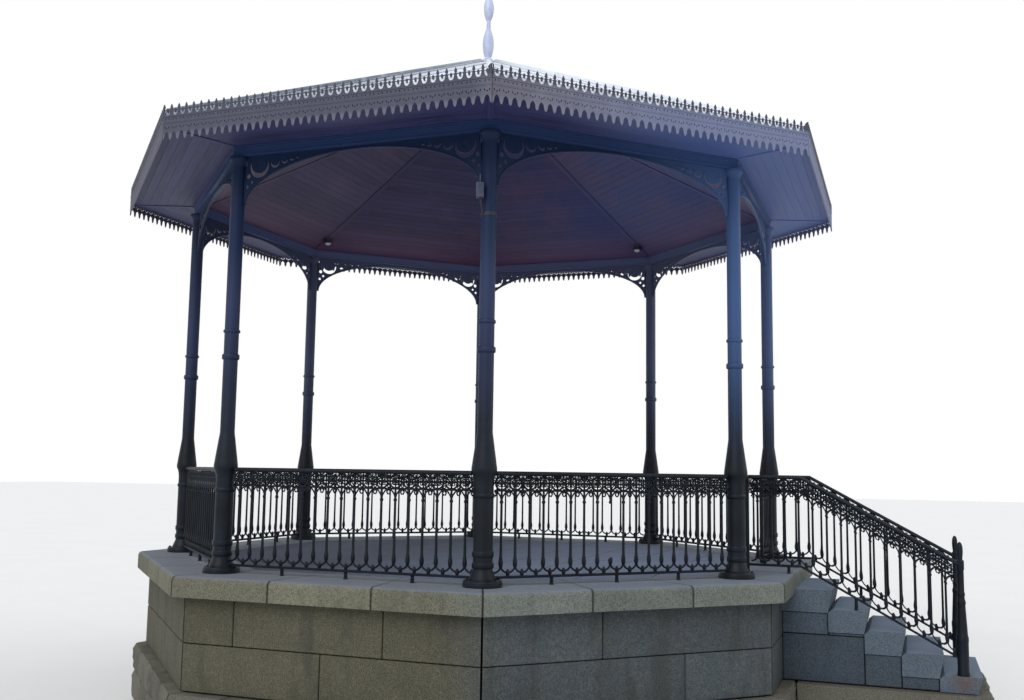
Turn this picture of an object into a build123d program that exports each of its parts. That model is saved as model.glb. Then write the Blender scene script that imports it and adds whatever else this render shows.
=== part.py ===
"""An octagonal park bandstand: a granite podium with one flight of steps, and an open cast-iron pavilion.

Millimetres, +Z up. The origin is the middle of the octagon on the lowest ground plane. Two flats of the
octagon are square to X and two to Y, and the flight of steps leaves the flat that faces -Y.
"""
import os
from math import atan2, cos, degrees, hypot, radians, sin, tan

from build123d import *

# Plan: each ring of the octagon is set from the circle that the columns stand on
side_count = 8
column_circle_radius = 3410
coping_margin = 463
coping_width = 810
coping_overhang = 128
coping_stones_per_side = 3
coping_joint_reach = 1215
wall_thickness = 200
footing_projection = 140
stone_joint = 6

# Levels of the podium
footing_height = 600
wall_height = 835
coping_thickness = 185
floor_thickness = 100
coping_nose_radius = 45

# Steps
step_count = 5
first_riser = 140
last_riser = 152
first_tread = 355
tread = 332
step_width = 1250
step_block_height = 218
step_undercut = 45
step_joint = 3
cheek_recess = 12
stair_footing_margin = 100

# Columns, from the foot up
column_height = 3950
shaft_diameter = 135
drum_diameter = 168
base_diameter = 338
base_thickness = 56
base_bevel = 12
flare_diameter = 230
flare_height = 92
collar_diameter = 186
collar_height = 42
collar_bevel = 6
collar_levels = (158, 252)
drum_ring_level = 750
drum_ring_height = 22
bell_diameter = 220
bell_level = 960
bell_spread = 80
bell_band = 40
waist_level = 1150
waist_diameter = 176
bell_top = 1300
shaft_ring_bevel = 10
lower_ring_diameter = 163
lower_ring_level = 1990
lower_ring_height = 38
upper_ring_diameter = 158
upper_ring_level = 2245
upper_ring_height = 17
cap_diameter = 190
cap_thickness = 30
cap_height = 90

# Balustrades
rail_top = 970
rail_depth = 50
rail_width = 56
lower_rail_height = 62
lower_rail_depth = 24
baluster_foot_height = 148
arch_spring_height = 725
upper_rail_height = 800
upper_rail_depth = 14
baluster_pitch = 134
baluster_gap = 166
baluster_width = 20
strut_width = 9
bar_thickness = 24
leg_count = 3
leg_width = 24

# Stair railings, which stand on the coping and on the steps
railing_inset = 55
level_rail_reach = 62
coping_leg_setback = 58
leg_step = 2
step_leg_setback = 112
corner_post_width = 40
newel_setback = 165
newel_diameter = 62
newel_base_diameter = 88
newel_base_height = 330
newel_head_height = 20
newel_spire_diameter = 54
newel_spire_height = 170
newel_tip_diameter = 11

# Arcade: a half ellipse in every bay, and round openings (reach from the column, drop, radius) that shrink
spandrel_drop = 475
spandrel_thickness = 25
spandrel_foot = 14
crown_depth = 20
spandrel_holes = ((58, 268, 36), (122, 128, 84), (266, 92, 50), (364, 72, 34), (442, 60, 26), (502, 50, 18))

# Eaves
beam_depth = 100
beam_width = 100
soffit_thickness = 22
roof_overhang = 744
fascia_thickness = 15
fascia_band_drop = 65
fascia_band_height = 180
cresting_height = 100
pendant_height = 60
tooth_width = 80

# Roof
eave_over_soffit = 140
roof_rise = 1780
roof_thickness = 45
ceiling_rise = 1570
ceiling_thickness = 28
panel_joint = 3
hip_roll_radius = 34
rafter_width = 80
rafter_end_gap = 60
finial_seat_apothem = 90
peak_apothem = 1

# Finial, from its seat up: an urn, a neck, a bulb and a spike
finial_plinth_height = 14
finial_foot_height = 56
finial_foot_radius = 38
urn_radius = 67
urn_height = 370
neck_radius = 25
neck_height = 100
bulb_radius = 61
bulb_height = 330
spike_radius = 15
spike_height = 230

# Lamps
lamp_diameter = 120
lamp_inset = 330
lamp_gap = 22
lamp_corners = (1, 3)
flood_corner = 6
flood_turn = 40
flood_reach = 125
flood_drop = 555
flood_height = 130
flood_width = 72
flood_edge_radius = 12
flood_arm_width = 16
flood_arm_drop = 200
flood_stem_width = 12
flood_stem_height = 80
seat_gap = 0.3

# Values that follow from the sizes above
half_turn = 180 / side_count
column_apothem = column_circle_radius * cos(radians(half_turn))
bay_length = 2 * column_circle_radius * sin(radians(half_turn))
coping_apothem = column_apothem + coping_margin
coping_inner_apothem = coping_apothem - coping_width
wall_apothem = coping_apothem - coping_overhang
wall_inner_apothem = wall_apothem - wall_thickness
footing_apothem = wall_apothem + footing_projection
wall_top = footing_height + wall_height
floor_level = wall_top + coping_thickness
riser = (floor_level - footing_height - first_riser - last_riser) / (step_count - 1)
step_half = step_width / 2
head_level = floor_level + column_height
soffit_level = head_level + beam_depth
eave_level = soffit_level + eave_over_soffit
eave_apothem = column_apothem + roof_overhang
roof_slope = roof_rise / eave_apothem
apex_level = eave_level + roof_rise
ceiling_slope = ceiling_rise / column_apothem


def circumradius(apothem):
    """Distance from the middle to a corner of an octagon with this apothem."""
    return apothem / cos(radians(half_turn))


def side_length(apothem):
    """Length of one side of an octagon with this apothem."""
    return 2 * apothem * tan(radians(half_turn))


def octagon(apothem, mode=Mode.ADD):
    """Regular octagon with flats square to X and Y, in the sketch that is open."""
    return RegularPolygon(circumradius(apothem), side_count, rotation=half_turn, mode=mode)


def corner_slots(apothem, reach, width, mode=Mode.ADD):
    """Thin slots along the lines from the middle to the corners, in the sketch that is open."""
    with PolarLocations(circumradius(apothem), side_count, half_turn):
        Rectangle(reach, width, mode=mode)


def bay_plane(bay, apothem, level):
    """Upright plane on the flat of one bay: x runs along the bay, y up, z outwards."""
    turn = radians(bay * 2 * half_turn - 90)
    return Plane(
        origin=(apothem * cos(turn), apothem * sin(turn), level),
        x_dir=(-sin(turn), cos(turn), 0),
        z_dir=(cos(turn), sin(turn), 0),
    )


def corner_plane(corner, radius, level, turned=0):
    """Upright plane at one corner: x runs outwards, or turned from that by some degrees, and y runs up."""
    place = radians(corner * 2 * half_turn + half_turn - 90)
    heading = place - radians(turned)
    return Plane(
        origin=(radius * cos(place), radius * sin(place), level),
        x_dir=(cos(heading), sin(heading), 0),
        z_dir=(sin(heading), -cos(heading), 0),
    )


def finish(piece, name):
    """Label a piece and write it."""
    piece.part.label = name
    export_step(piece.part, f"parts/{name}.step")


def copy_to(solid, place, name):
    """Write a copy of a solid, moved to its place."""
    with BuildPart() as piece:
        add(solid.moved(place))
    finish(piece, name)


os.makedirs("parts", exist_ok=True)


# Steps: places and levels, counted from 1 down from the floor
def nosing(step):
    """Distance from the middle to the front edge of a step."""
    return coping_apothem + first_tread + (step - 1) * tread


def step_top(step):
    """Level of the top of a step."""
    return floor_level - first_riser - (step - 1) * riser


def block_bottom(step):
    """Level of the underside of a step block. The last one stands on the footing."""
    return max(step_top(step) - step_block_height, footing_height)


# Podium: footing, fill, wall slabs, coping and floor
with BuildPart() as footing:
    with BuildSketch():
        octagon(footing_apothem)
        octagon(wall_inner_apothem, mode=Mode.SUBTRACT)
    extrude(amount=footing_height)
    with BuildSketch():
        stair_footing_back = footing_apothem + stone_joint
        stair_footing_front = nosing(step_count) + stair_footing_margin
        with Locations((0, -(stair_footing_front + stair_footing_back) / 2)):
            Rectangle(step_width + 2 * stair_footing_margin, stair_footing_front - stair_footing_back)
    extrude(amount=footing_height)
finish(footing, "footing")

with BuildPart() as podium_fill:
    with BuildSketch():
        octagon(wall_inner_apothem)
    extrude(amount=wall_top)
    with BuildSketch(Plane.XY.offset(wall_top)):
        octagon(coping_inner_apothem)
    extrude(amount=coping_thickness - floor_thickness)
finish(podium_fill, "podium_fill")

with BuildPart() as podium_wall:
    with BuildSketch(Plane.XY.offset(footing_height)):
        octagon(wall_apothem)
        octagon(wall_inner_apothem, mode=Mode.SUBTRACT)
    extrude(amount=wall_height)
    with BuildSketch(Plane.XY.offset(footing_height)):
        corner_slots(wall_apothem - wall_thickness / 2, 2 * wall_thickness, stone_joint)
    extrude(amount=wall_height, mode=Mode.SUBTRACT)
finish(podium_wall, "podium_wall")

with BuildPart() as coping:
    with BuildSketch(Plane.XY.offset(wall_top)):
        octagon(coping_apothem)
    extrude(amount=coping_thickness)
    fillet(coping.edges().group_by(Axis.Z)[-1], radius=coping_nose_radius)
    stone_length = side_length(coping_apothem) / coping_stones_per_side
    with BuildSketch(Plane.XY.offset(wall_top)):
        octagon(coping_inner_apothem)
        corner_slots(coping_apothem - coping_width / 2, 2 * coping_width, stone_joint)
        for bay in range(side_count):
            with PolarLocations(coping_apothem - coping_width / 2, 1, bay * 2 * half_turn):
                for joint in range(1, coping_stones_per_side):
                    with Locations((0, (joint - coping_stones_per_side / 2) * stone_length)):
                        Rectangle(coping_joint_reach, stone_joint)
    extrude(amount=coping_thickness, mode=Mode.SUBTRACT)
finish(coping, "coping")

with BuildPart() as floor_slab:
    with BuildSketch(Plane.XY.offset(floor_level - floor_thickness)):
        octagon(coping_inner_apothem)
    extrude(amount=floor_thickness)
finish(floor_slab, "floor_slab")

# Steps: granite blocks on a mass of masonry, each tucked under the one above it
with BuildPart() as steps:
    for step in range(1, step_count + 1):
        top = step_top(step)
        bottom = block_bottom(step)
        front = nosing(step)
        if step == 1:
            under = wall_top - step_joint
            notch = coping_apothem + step_joint
            outline = [
                (notch, top), (front, top), (front - step_undercut, bottom),
                (wall_apothem, bottom), (wall_apothem, under), (notch, under),
            ]
        else:
            back = nosing(step - 1) - step_undercut + step_joint
            outline = [
                (nosing(step - 1) + step_joint, top), (front, top), (front - step_undercut, bottom),
                (back, bottom), (back, block_bottom(step - 1)),
            ]
        with BuildSketch(Plane(origin=(step_half, 0, 0), x_dir=(0, -1, 0), z_dir=(-1, 0, 0))):
            with BuildLine():
                Polyline(*outline, close=True)
            make_face()
        extrude(amount=step_width)
finish(steps, "steps")

with BuildPart() as stair_base:
    outline = [(wall_apothem, footing_height)]
    for step in range(1, step_count):
        back = wall_apothem if step == 1 else nosing(step - 1) - step_undercut
        outline.append((back, block_bottom(step)))
        outline.append((nosing(step) - step_undercut, block_bottom(step)))
    outline.append((nosing(step_count - 1) - step_undercut, footing_height))
    with BuildSketch(Plane(origin=(step_half - cheek_recess, 0, 0), x_dir=(0, -1, 0), z_dir=(-1, 0, 0))):
        with BuildLine():
            Polyline(*outline, close=True)
        make_face()
    extrude(amount=step_width - 2 * cheek_recess)
finish(stair_base, "stair_base")


# Columns: one turned profile with its rings
def ring(level, height, neck, diameter, bevel):
    """Profile of a raised ring around a neck, from its lower edge to its upper one."""
    return [
        (neck / 2, level - bevel),
        (diameter / 2, level),
        (diameter / 2, level + height),
        (neck / 2, level + height + bevel),
    ]


column_profile = [
    (0, 0),
    (base_diameter / 2, 0),
    (base_diameter / 2, base_thickness - base_bevel),
    (base_diameter / 2 - base_bevel, base_thickness),
    (flare_diameter / 2, base_thickness),
    (drum_diameter / 2, base_thickness + flare_height),
]
for level in collar_levels:
    column_profile += ring(level, collar_height, drum_diameter, collar_diameter, collar_bevel)
column_profile += ring(drum_ring_level, drum_ring_height, drum_diameter, collar_diameter, shaft_ring_bevel)
column_profile += [
    (drum_diameter / 2, bell_level - bell_spread),
    (bell_diameter / 2, bell_level),
    (bell_diameter / 2, bell_level + bell_band),
    (waist_diameter / 2, waist_level),
    (shaft_diameter / 2, bell_top),
]
column_profile += ring(
    lower_ring_level, lower_ring_height, shaft_diameter, lower_ring_diameter, shaft_ring_bevel
)
column_profile += ring(
    upper_ring_level, upper_ring_height, shaft_diameter, upper_ring_diameter, shaft_ring_bevel
)
column_profile += [
    (shaft_diameter / 2, column_height - cap_height),
    (cap_diameter / 2, column_height - cap_thickness),
    (cap_diameter / 2, column_height),
    (0, column_height),
]
with BuildPart() as column:
    with BuildSketch(Plane.XZ):
        with BuildLine():
            Polyline(*column_profile, close=True)
        make_face()
    revolve(axis=Axis.Z)
for corner in range(side_count):
    foot = corner_plane(corner, column_circle_radius, floor_level).origin
    copy_to(column.part, Location(foot), f"column_{corner + 1}")


# Balustrades: flat lattices, drawn with x along the panel and y up from the floor
def bar(start, end, bottom, height):
    """Level or upright bar of a lattice, in the sketch that is open."""
    with Locations(((start + end) / 2, bottom + height / 2)):
        Rectangle(end - start, height)


def strut(start, end):
    """Slanted bar of a lattice between two points, in the sketch that is open."""
    run = end[0] - start[0]
    climb = end[1] - start[1]
    middle = ((start[0] + end[0]) / 2, (start[1] + end[1]) / 2, 0)
    with Locations(Location(middle, (0, 0, degrees(atan2(climb, run))))):
        Rectangle(hypot(run, climb), strut_width)


gap_count = round((bay_length - 2 * baluster_gap) / baluster_pitch)
spacing = (bay_length - 2 * baluster_gap) / gap_count
baluster_spots = [index * spacing + baluster_gap - bay_length / 2 for index in range(gap_count + 1)]
rail_bottom = rail_top - rail_depth
lower_rail_top = lower_rail_height + lower_rail_depth


def lattice(start, end, spots):
    """Lower rail, balusters, their forked feet and the pointed arches between them, in the open sketch."""
    bar(start, end, lower_rail_height, lower_rail_depth)
    for spot in spots:
        baluster_height = rail_bottom - baluster_foot_height
        bar(spot - baluster_width / 2, spot + baluster_width / 2, baluster_foot_height, baluster_height)
    for left, right in zip(spots, spots[1:]):
        middle = (left + right) / 2
        for spot in (left, right):
            strut((spot, baluster_foot_height + strut_width / 2), (middle, lower_rail_top))
            strut((spot, arch_spring_height), (middle, upper_rail_height + strut_width / 2))


drum_half = bay_length / 2 - drum_diameter / 2
flare_half = bay_length / 2 - flare_diameter / 2
bell_half = bay_length / 2 - bell_diameter / 2
with BuildPart() as panel:
    with BuildSketch():
        lattice(-flare_half, flare_half, baluster_spots)
        bar(-drum_half, drum_half, upper_rail_height, upper_rail_depth)
        for index in range(1, leg_count + 1):
            leg = index * bay_length / (leg_count + 1) - bay_length / 2
            bar(leg - leg_width / 2, leg + leg_width / 2, 0, lower_rail_height)
    extrude(amount=bar_thickness / 2, both=True)
    with BuildSketch():
        bar(-bell_half, bell_half, rail_bottom, rail_depth)
    extrude(amount=rail_width / 2, both=True)
for bay in range(1, side_count):
    copy_to(panel.part, bay_plane(bay, column_apothem, floor_level).location, f"balustrade_{bay}")

# Return panels from the columns beside the steps to the stair railings
railing_x = step_half - railing_inset
post_side = railing_x + corner_post_width / 2
with BuildPart() as return_panels:
    for side in (-1, 1):
        spots = [spot for spot in baluster_spots if side * spot > post_side + baluster_width]
        with BuildSketch(bay_plane(0, column_apothem, floor_level)):
            lattice(*sorted((side * post_side, side * flare_half)), spots)
            bar(*sorted((side * post_side, side * drum_half)), upper_rail_height, upper_rail_depth)
        extrude(amount=bar_thickness / 2, both=True)
        with BuildSketch(bay_plane(0, column_apothem, floor_level)):
            rail_side = railing_x + rail_width / 2
            bar(*sorted((side * rail_side, side * bell_half)), rail_bottom, rail_depth)
        extrude(amount=rail_width / 2, both=True)
finish(return_panels, "return_panels")

# Stair railings: a corner post, a level stretch over the coping, a slope, and a newel on the last step
level_end = coping_apothem + level_rail_reach
newel_place = nosing(step_count) - newel_setback


def fall(place):
    """How far the stair railing has come down at a distance from the middle of the octagon."""
    return max(0, place - level_end) * riser / tread


def falling_rail(start, height, depth):
    """Rail that is level over the coping and then follows the steps, in the sketch that is open."""
    Polygon(
        (start, height),
        (level_end, height),
        (newel_place, height - fall(newel_place)),
        (newel_place, height + depth - fall(newel_place)),
        (level_end, height + depth),
        (start, height + depth),
        align=None,
    )


with BuildPart() as railing:
    rail_plane = Plane(origin=(0, 0, floor_level), x_dir=(0, -1, 0), z_dir=(-1, 0, 0))
    with BuildSketch(rail_plane):
        falling_rail(column_apothem, lower_rail_height, lower_rail_depth)
        falling_rail(column_apothem, upper_rail_height, upper_rail_depth)
        baluster_count = int((newel_place - column_apothem - corner_post_width) / baluster_pitch)
        for index in range(1, baluster_count + 1):
            spot = newel_place - index * baluster_pitch
            baluster_foot = lower_rail_height - fall(spot)
            baluster_height = rail_top - rail_depth / 2 - lower_rail_height
            bar(spot - baluster_width / 2, spot + baluster_width / 2, baluster_foot, baluster_height)
        coping_leg = coping_apothem - coping_leg_setback
        bar(coping_leg - leg_width / 2, coping_leg + leg_width / 2, 0, lower_rail_top - strut_width)
        step_leg = nosing(leg_step) - step_leg_setback
        leg_bottom = step_top(leg_step) - floor_level
        leg_height = lower_rail_height - fall(step_leg) - leg_bottom + strut_width
        bar(step_leg - leg_width / 2, step_leg + leg_width / 2, leg_bottom, leg_height)
    extrude(amount=bar_thickness / 2, both=True)
    with BuildSketch(rail_plane):
        falling_rail(column_apothem - rail_width / 2, rail_bottom, rail_depth)
    extrude(amount=rail_width / 2, both=True)
    with BuildSketch(Plane.XY.offset(floor_level)):
        with Locations((0, -column_apothem)):
            Rectangle(corner_post_width, corner_post_width)
    extrude(amount=rail_top - rail_depth / 2)
    newel_foot = step_top(step_count)
    newel_top = floor_level + rail_top - fall(newel_place) + newel_head_height
    with Locations((0, -newel_place, newel_foot)):
        align = (Align.CENTER, Align.CENTER, Align.MIN)
        Cylinder(newel_base_diameter / 2, newel_base_height, align=align)
        Cylinder(newel_diameter / 2, newel_top - newel_foot, align=align)
    with Locations((0, -newel_place, newel_top)):
        Cone(newel_spire_diameter / 2, newel_tip_diameter / 2, newel_spire_height, align=align)
copy_to(railing.part, Location((-railing_x, 0, 0)), "stair_railing_left")
copy_to(railing.part, Location((railing_x, 0, 0)), "stair_railing_right")

# Ring beam on the columns
with BuildPart() as ring_beam:
    with BuildSketch(Plane.XY.offset(head_level)):
        octagon(column_apothem + beam_width / 2)
        octagon(column_apothem - beam_width / 2, mode=Mode.SUBTRACT)
    extrude(amount=beam_depth)
finish(ring_beam, "ring_beam")

# Arcade: an openwork spandrel in every bay, drawn with y down from the beam
spandrel_half = bay_length / 2 - shaft_diameter / 2
with BuildPart() as spandrel:
    with BuildSketch():
        with Locations((0, -spandrel_drop / 2)):
            Rectangle(2 * spandrel_half, spandrel_drop)
        with Locations((-spandrel_half, 0), (spandrel_half, 0)):
            Rectangle(cap_diameter - shaft_diameter, 2 * cap_height, mode=Mode.SUBTRACT)
        with Locations((0, -spandrel_drop)):
            Ellipse(spandrel_half - spandrel_foot, spandrel_drop - crown_depth, mode=Mode.SUBTRACT)
        for reach, drop, radius in spandrel_holes:
            with Locations((reach - spandrel_half, -drop), (spandrel_half - reach, -drop)):
                Circle(radius, mode=Mode.SUBTRACT)
    extrude(amount=spandrel_thickness / 2, both=True)
for bay in range(side_count):
    copy_to(spandrel.part, bay_plane(bay, column_apothem, head_level).location, f"arch_{bay + 1}")

# Soffit boards from the beam to the fascia, mitred at the corners
with BuildPart() as soffit:
    with BuildSketch(Plane.XY.offset(soffit_level)):
        octagon(eave_apothem)
        octagon(column_apothem, mode=Mode.SUBTRACT)
        corner_slots(column_apothem + roof_overhang / 2, 2 * roof_overhang, panel_joint, mode=Mode.SUBTRACT)
    extrude(amount=soffit_thickness)
finish(soffit, "soffit")

# Fascia with pointed cresting above and pendants below
fascia_length = side_length(eave_apothem)
tooth_count = round(fascia_length / tooth_width)
tooth_pitch = fascia_length / tooth_count
band_bottom = soffit_level - fascia_band_drop
with BuildPart() as fascia_side:
    with BuildSketch():
        outline = [(-fascia_length / 2, fascia_band_height)]
        for index in range(tooth_count):
            start = index * tooth_pitch - fascia_length / 2
            outline.append((start + tooth_pitch / 2, fascia_band_height + cresting_height))
            outline.append((start + tooth_pitch, fascia_band_height))
        outline.append((fascia_length / 2, 0))
        for index in range(tooth_count):
            start = fascia_length / 2 - index * tooth_pitch
            outline.append((start - tooth_pitch / 2, -pendant_height))
            outline.append((start - tooth_pitch, 0))
        with BuildLine():
            Polyline(*outline, close=True)
        make_face()
    extrude(amount=fascia_thickness)
with BuildPart() as fascia:
    for bay in range(side_count):
        add(fascia_side.part.moved(bay_plane(bay, eave_apothem, band_bottom).location))
finish(fascia, "fascia")


# Roof covering and ceiling: eight panels each, with a joint along every hip
def pyramid(base_apothem, base_level, slope, top_apothem):
    """Solid octagonal pyramid, cut flat at its top."""
    rise = (base_apothem - top_apothem) * slope
    with BuildPart(mode=Mode.PRIVATE) as solid:
        with BuildSketch(Plane.XY.offset(base_level)):
            octagon(base_apothem)
        with BuildSketch(Plane.XY.offset(base_level + rise)):
            octagon(top_apothem)
        loft()
    return solid.part


def hip_slots(base_level):
    """Thin upright slots along the lines to the corners."""
    with BuildPart(mode=Mode.PRIVATE) as slots:
        with BuildSketch(Plane.XY.offset(base_level)):
            corner_slots(eave_apothem / 2, 2 * eave_apothem, panel_joint)
        extrude(amount=2 * roof_rise)
    return slots.part


roof_bottom = eave_level - roof_thickness
roof_inside = pyramid(eave_apothem, roof_bottom, roof_slope, peak_apothem)
with BuildPart() as roof_block:
    add(pyramid(eave_apothem, eave_level, roof_slope, finial_seat_apothem))
    with BuildSketch(Plane.XY.offset(roof_bottom)):
        octagon(eave_apothem)
    extrude(amount=roof_thickness)
with BuildPart() as roof_covering:
    add(roof_block.part)
    add(roof_inside, mode=Mode.SUBTRACT)
    add(hip_slots(roof_bottom), mode=Mode.SUBTRACT)
finish(roof_covering, "roof_covering")

ceiling_outside = pyramid(column_apothem, soffit_level, ceiling_slope, peak_apothem)
ceiling_inner_apothem = column_apothem - ceiling_thickness / ceiling_slope
ceiling_inside = pyramid(ceiling_inner_apothem, soffit_level, ceiling_slope, peak_apothem)
with BuildPart() as ceiling:
    add(ceiling_outside)
    add(ceiling_inside, mode=Mode.SUBTRACT)
    add(hip_slots(soffit_level), mode=Mode.SUBTRACT)
finish(ceiling, "ceiling")

# Roof frame: hip rafters that fill the space between the ceiling and the covering
frame_reach = circumradius(eave_apothem) - rafter_end_gap
hip_slope = roof_slope * cos(radians(half_turn))
soffit_top = soffit_level + soffit_thickness
roof_under = apex_level - roof_thickness
with BuildPart() as roof_frame:
    for corner in range(side_count):
        with BuildSketch(corner_plane(corner, 0, 0)):
            with BuildLine():
                Polyline(
                    (0, roof_under),
                    (frame_reach, roof_under - frame_reach * hip_slope),
                    (frame_reach, soffit_top),
                    (0, soffit_top),
                    close=True,
                )
            make_face()
        extrude(amount=rafter_width / 2, both=True)
    add(ceiling_outside, mode=Mode.SUBTRACT)
    with BuildPart(mode=Mode.PRIVATE) as over_roof:
        with BuildSketch(Plane.XY.offset(roof_bottom)):
            octagon(2 * eave_apothem)
        extrude(amount=2 * roof_rise)
        add(roof_inside, mode=Mode.SUBTRACT)
    add(over_roof.part, mode=Mode.SUBTRACT)
finish(roof_frame, "roof_frame")

# Hip rolls over the joints of the covering
hip_start = circumradius(finial_seat_apothem) + hip_roll_radius
hip_end = circumradius(eave_apothem) - hip_roll_radius
with BuildPart() as hip_rolls:
    for corner in range(side_count):
        upright = corner_plane(corner, 0, 0)
        top_point = upright.from_local_coords(Vector(hip_start, apex_level - hip_start * hip_slope, 0))
        low_point = upright.from_local_coords(Vector(hip_end, apex_level - hip_end * hip_slope, 0))
        direction = low_point - top_point
        with BuildSketch(Plane(origin=top_point, z_dir=direction)):
            Circle(hip_roll_radius)
        extrude(amount=direction.length)
    add(roof_block.part, mode=Mode.SUBTRACT)
finish(hip_rolls, "hip_rolls")

# Finial
seat_level = apex_level - finial_seat_apothem * roof_slope
foot_level = seat_level + finial_plinth_height
urn_bottom = foot_level + finial_foot_height
urn_middle = urn_bottom + urn_height / 2
urn_top = urn_bottom + urn_height
bulb_bottom = urn_top + neck_height
bulb_middle = bulb_bottom + bulb_height / 2
bulb_top = bulb_bottom + bulb_height
with BuildPart() as finial:
    with BuildSketch(Plane.XZ):
        with BuildLine():
            Polyline(
                (0, bulb_top + spike_height),
                (0, seat_level),
                (finial_seat_apothem, seat_level),
                (finial_seat_apothem, foot_level),
                (finial_foot_radius, urn_bottom),
            )
            ThreePointArc((finial_foot_radius, urn_bottom), (urn_radius, urn_middle), (neck_radius, urn_top))
            Line((neck_radius, urn_top), (neck_radius, bulb_bottom))
            ThreePointArc((neck_radius, bulb_bottom), (bulb_radius, bulb_middle), (spike_radius, bulb_top))
            Line((spike_radius, bulb_top), (0, bulb_top + spike_height))
        make_face()
    revolve(axis=Axis.Z)
finish(finial, "finial")

# Lamps under the ceiling, at the foot of two hips
with BuildPart() as ceiling_lamps:
    for corner in lamp_corners:
        foot = corner_plane(corner, circumradius(column_apothem) - lamp_inset, soffit_level + lamp_gap)
        with BuildSketch(Plane(origin=foot.origin, z_dir=(0, 0, 1))):
            Circle(lamp_diameter / 2)
        extrude(amount=ceiling_rise)
    add(ceiling_inside, mode=Mode.INTERSECT)
finish(ceiling_lamps, "ceiling_lamps")

# Floodlight on an arm from one column, with its stem
flood_level = head_level - flood_drop
flood_plane = corner_plane(flood_corner, column_circle_radius, flood_level, flood_turn)
with BuildPart() as floodlight:
    body_foot = flood_plane.from_local_coords(Vector(flood_reach, -flood_height / 2, 0))
    with BuildSketch(Plane(origin=body_foot, x_dir=flood_plane.x_dir, z_dir=(0, 0, 1))):
        RectangleRounded(flood_width, flood_width, flood_edge_radius)
    extrude(amount=flood_height)
    with BuildSketch(flood_plane):
        arm_start = shaft_diameter / 2 + seat_gap
        with BuildLine():
            Polyline(
                (arm_start, -flood_arm_drop),
                (flood_reach + flood_arm_width / 2, -flood_height / 2),
                (flood_reach - flood_arm_width / 2, -flood_height / 2),
                (arm_start, flood_arm_width - flood_arm_drop),
                close=True,
            )
        make_face()
        with Locations((flood_reach, (flood_height + flood_stem_height) / 2)):
            Rectangle(flood_stem_width, flood_stem_height)
    extrude(amount=flood_arm_width / 2, both=True)
finish(floodlight, "floodlight")
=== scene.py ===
"""The looks of an octagonal park bandstand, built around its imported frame.

Metres, +Z up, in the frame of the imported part: the origin is the middle of the octagon on the lowest ground
plane, and the flight of steps leaves the flat that faces -Y. What repeats from bay to bay is modelled once on
that flat, the first bay, and each copy is turned to its own bay.
"""
import logging
import math
import random
from contextlib import contextmanager
from dataclasses import dataclass
from enum import Enum
from typing import Iterable, Iterator, Sequence

import bmesh
import bpy
from mathutils import Matrix, Vector


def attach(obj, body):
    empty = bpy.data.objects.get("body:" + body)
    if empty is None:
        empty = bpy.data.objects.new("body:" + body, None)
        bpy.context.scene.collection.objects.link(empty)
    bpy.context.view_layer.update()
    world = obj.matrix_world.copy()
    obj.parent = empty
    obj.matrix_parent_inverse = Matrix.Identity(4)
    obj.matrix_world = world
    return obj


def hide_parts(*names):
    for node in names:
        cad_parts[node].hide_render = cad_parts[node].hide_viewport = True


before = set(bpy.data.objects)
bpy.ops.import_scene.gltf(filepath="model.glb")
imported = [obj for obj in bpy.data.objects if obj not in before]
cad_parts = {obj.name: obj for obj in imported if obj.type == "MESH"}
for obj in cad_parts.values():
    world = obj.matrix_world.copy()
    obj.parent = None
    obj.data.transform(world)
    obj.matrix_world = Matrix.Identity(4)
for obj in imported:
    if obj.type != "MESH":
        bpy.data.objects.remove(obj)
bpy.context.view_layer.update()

log = logging.getLogger("bandstand")
# Range of the shades that single stones and boards draw, from dark to light
TONES = (-0.5, 0.5)

Object = bpy.types.Object
Material = bpy.types.Material
Socket = bpy.types.NodeSocket
Point = tuple[float, float]
Triple = tuple[float, float, float]
Colour = tuple[float, float, float, float]


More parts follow.
